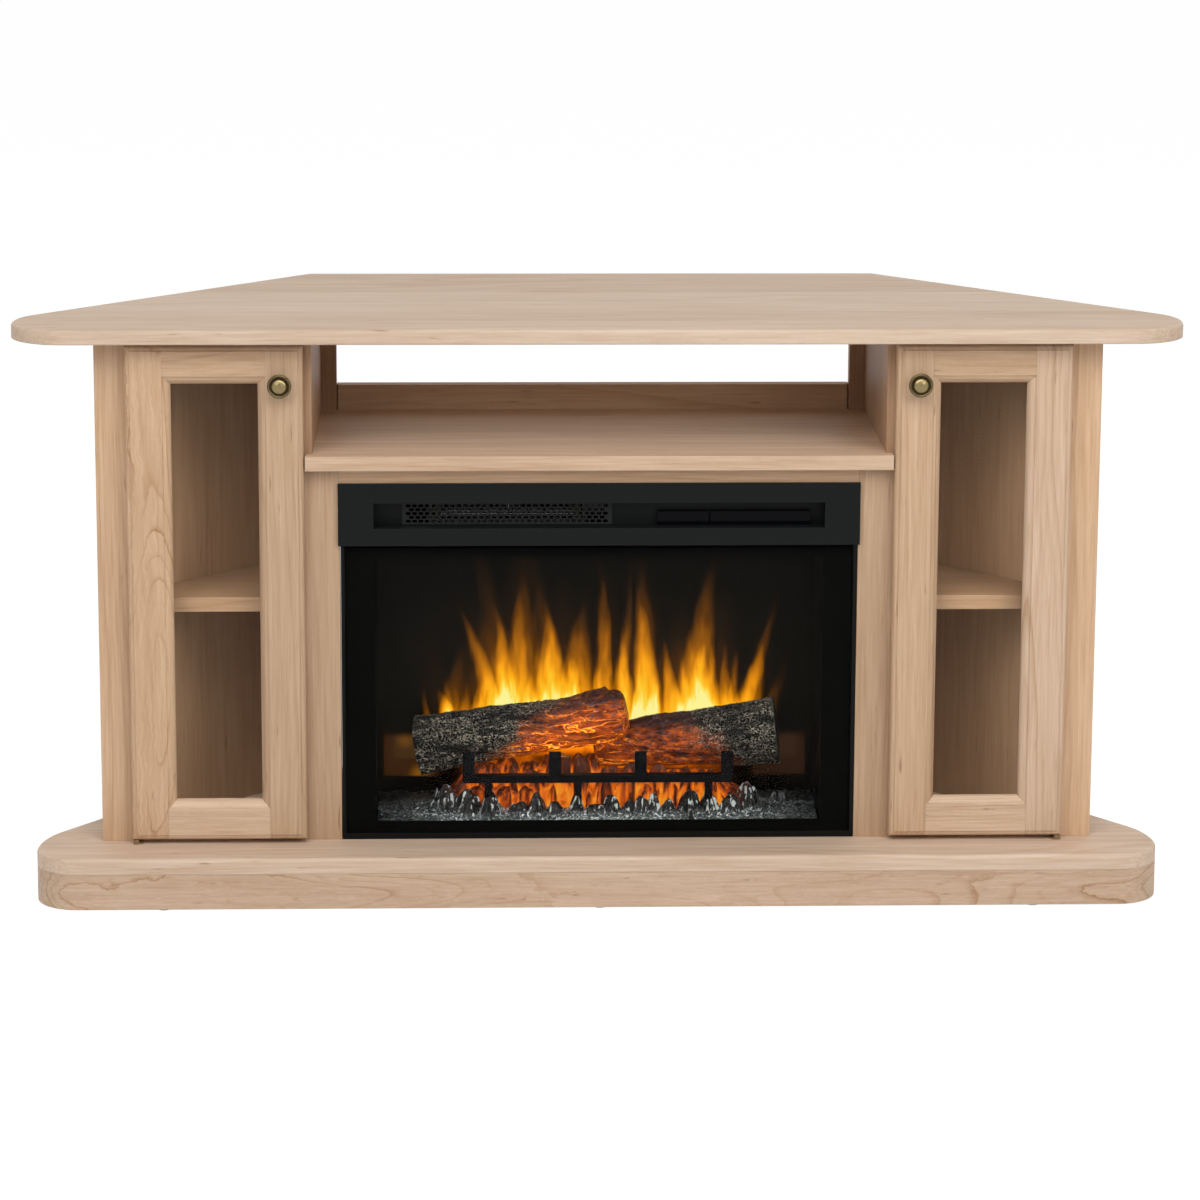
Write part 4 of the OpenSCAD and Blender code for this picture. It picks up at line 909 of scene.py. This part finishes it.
def pale_floor():
    """White floor that keeps the shadow: camera and mirror rays see it mostly lit by itself."""
    t = Tree("pale_floor")
    paper = t.add("ShaderNodeBsdfDiffuse")
    t.feed(paper.inputs[0], (0.86, 0.86, 0.86))
    white = t.add("ShaderNodeEmission")
    t.feed(white.inputs["Strength"], FLOOR_STRENGTH)
    rays = t.rays()
    seen = t.math("MAXIMUM", rays["Is Camera Ray"],
                  t.math("MAXIMUM", rays["Is Glossy Ray"], rays["Is Transmission Ray"]))
    t.end_mixed(t.math("MULTIPLY", seen, FLOOR_SHARE), paper, white)
    return t.block


bpy.ops.mesh.primitive_plane_add(size=60.0)
floor = bpy.context.object
floor.name = "floor"
floor.data.materials.append(pale_floor())


def studio_world(level, mirrored):
    """White to the camera and through glass, dimmer in reflections and much dimmer as light."""
    t = Tree("studio", world=True)
    rays = t.rays()
    strength = level
    for kind, least in (("Is Glossy Ray", mirrored), ("Is Transmission Ray", 1.0), ("Is Camera Ray", 1.0)):
        strength = t.math("MAXIMUM", t.math("MULTIPLY", rays[kind], least), strength)
    background = t.add("ShaderNodeBackground")
    t.feed(background.inputs["Color"], (1.0, 1.0, 1.0))
    t.feed(background.inputs["Strength"], strength)
    t.end(background)
    return t.block


def softbox(name, place, size, watts):
    """A rectangular lamp that faces the object."""
    light = bpy.data.lights.new(name, "AREA")
    light.shape = "RECTANGLE"
    light.size, light.size_y = size
    light.energy = watts
    box = bpy.data.objects.new(name, light)
    scene.collection.objects.link(box)
    box.location = place
    box.rotation_euler = (MIDDLE - Vector(place)).to_track_quat("-Z", "Y").to_euler()


scene.world = studio_world(level=0.37, mirrored=0.80)
softbox("front_left", (-2.2, -3.2, 2.6), (2.0, 1.6), 41.0)
softbox("front_right", (2.4, -3.0, 2.4), (2.0, 1.6), 48.0)
softbox("overhead", (0.0, -2.0, 3.0), (2.6, 1.4), 44.0)
softbox("rear_left", (-2.6, 2.6, 2.0), (2.0, 1.6), 16.0)
softbox("rear_right", (2.6, 2.6, 2.0), (2.0, 1.6), 16.0)

# The photograph's camera, with most of its vertical shift turned into tilt
CAMERA_PLACE = (-0.1495, -4.8611, 1.5524)
CAMERA_YAW, CAMERA_PITCH, CAMERA_ROLL = -1.821, 10.248, 0.243
CAMERA_LENS = 112.3
CAMERA_SHIFT_Y = -0.20

camera = bpy.data.objects.new("camera", bpy.data.cameras.new("camera"))
scene.collection.objects.link(camera)
camera.data.lens = CAMERA_LENS
camera.data.sensor_width = 36.0
camera.data.shift_y = CAMERA_SHIFT_Y
camera.matrix_world = (
    Matrix.Translation(CAMERA_PLACE)
    @ Matrix.Rotation(math.radians(CAMERA_YAW), 4, "Z")
    @ Matrix.Rotation(math.radians(90 - CAMERA_PITCH), 4, "X")
    @ Matrix.Rotation(math.radians(CAMERA_ROLL), 4, "Z")
)
scene.camera = camera
scene.view_settings.view_transform = "Standard"
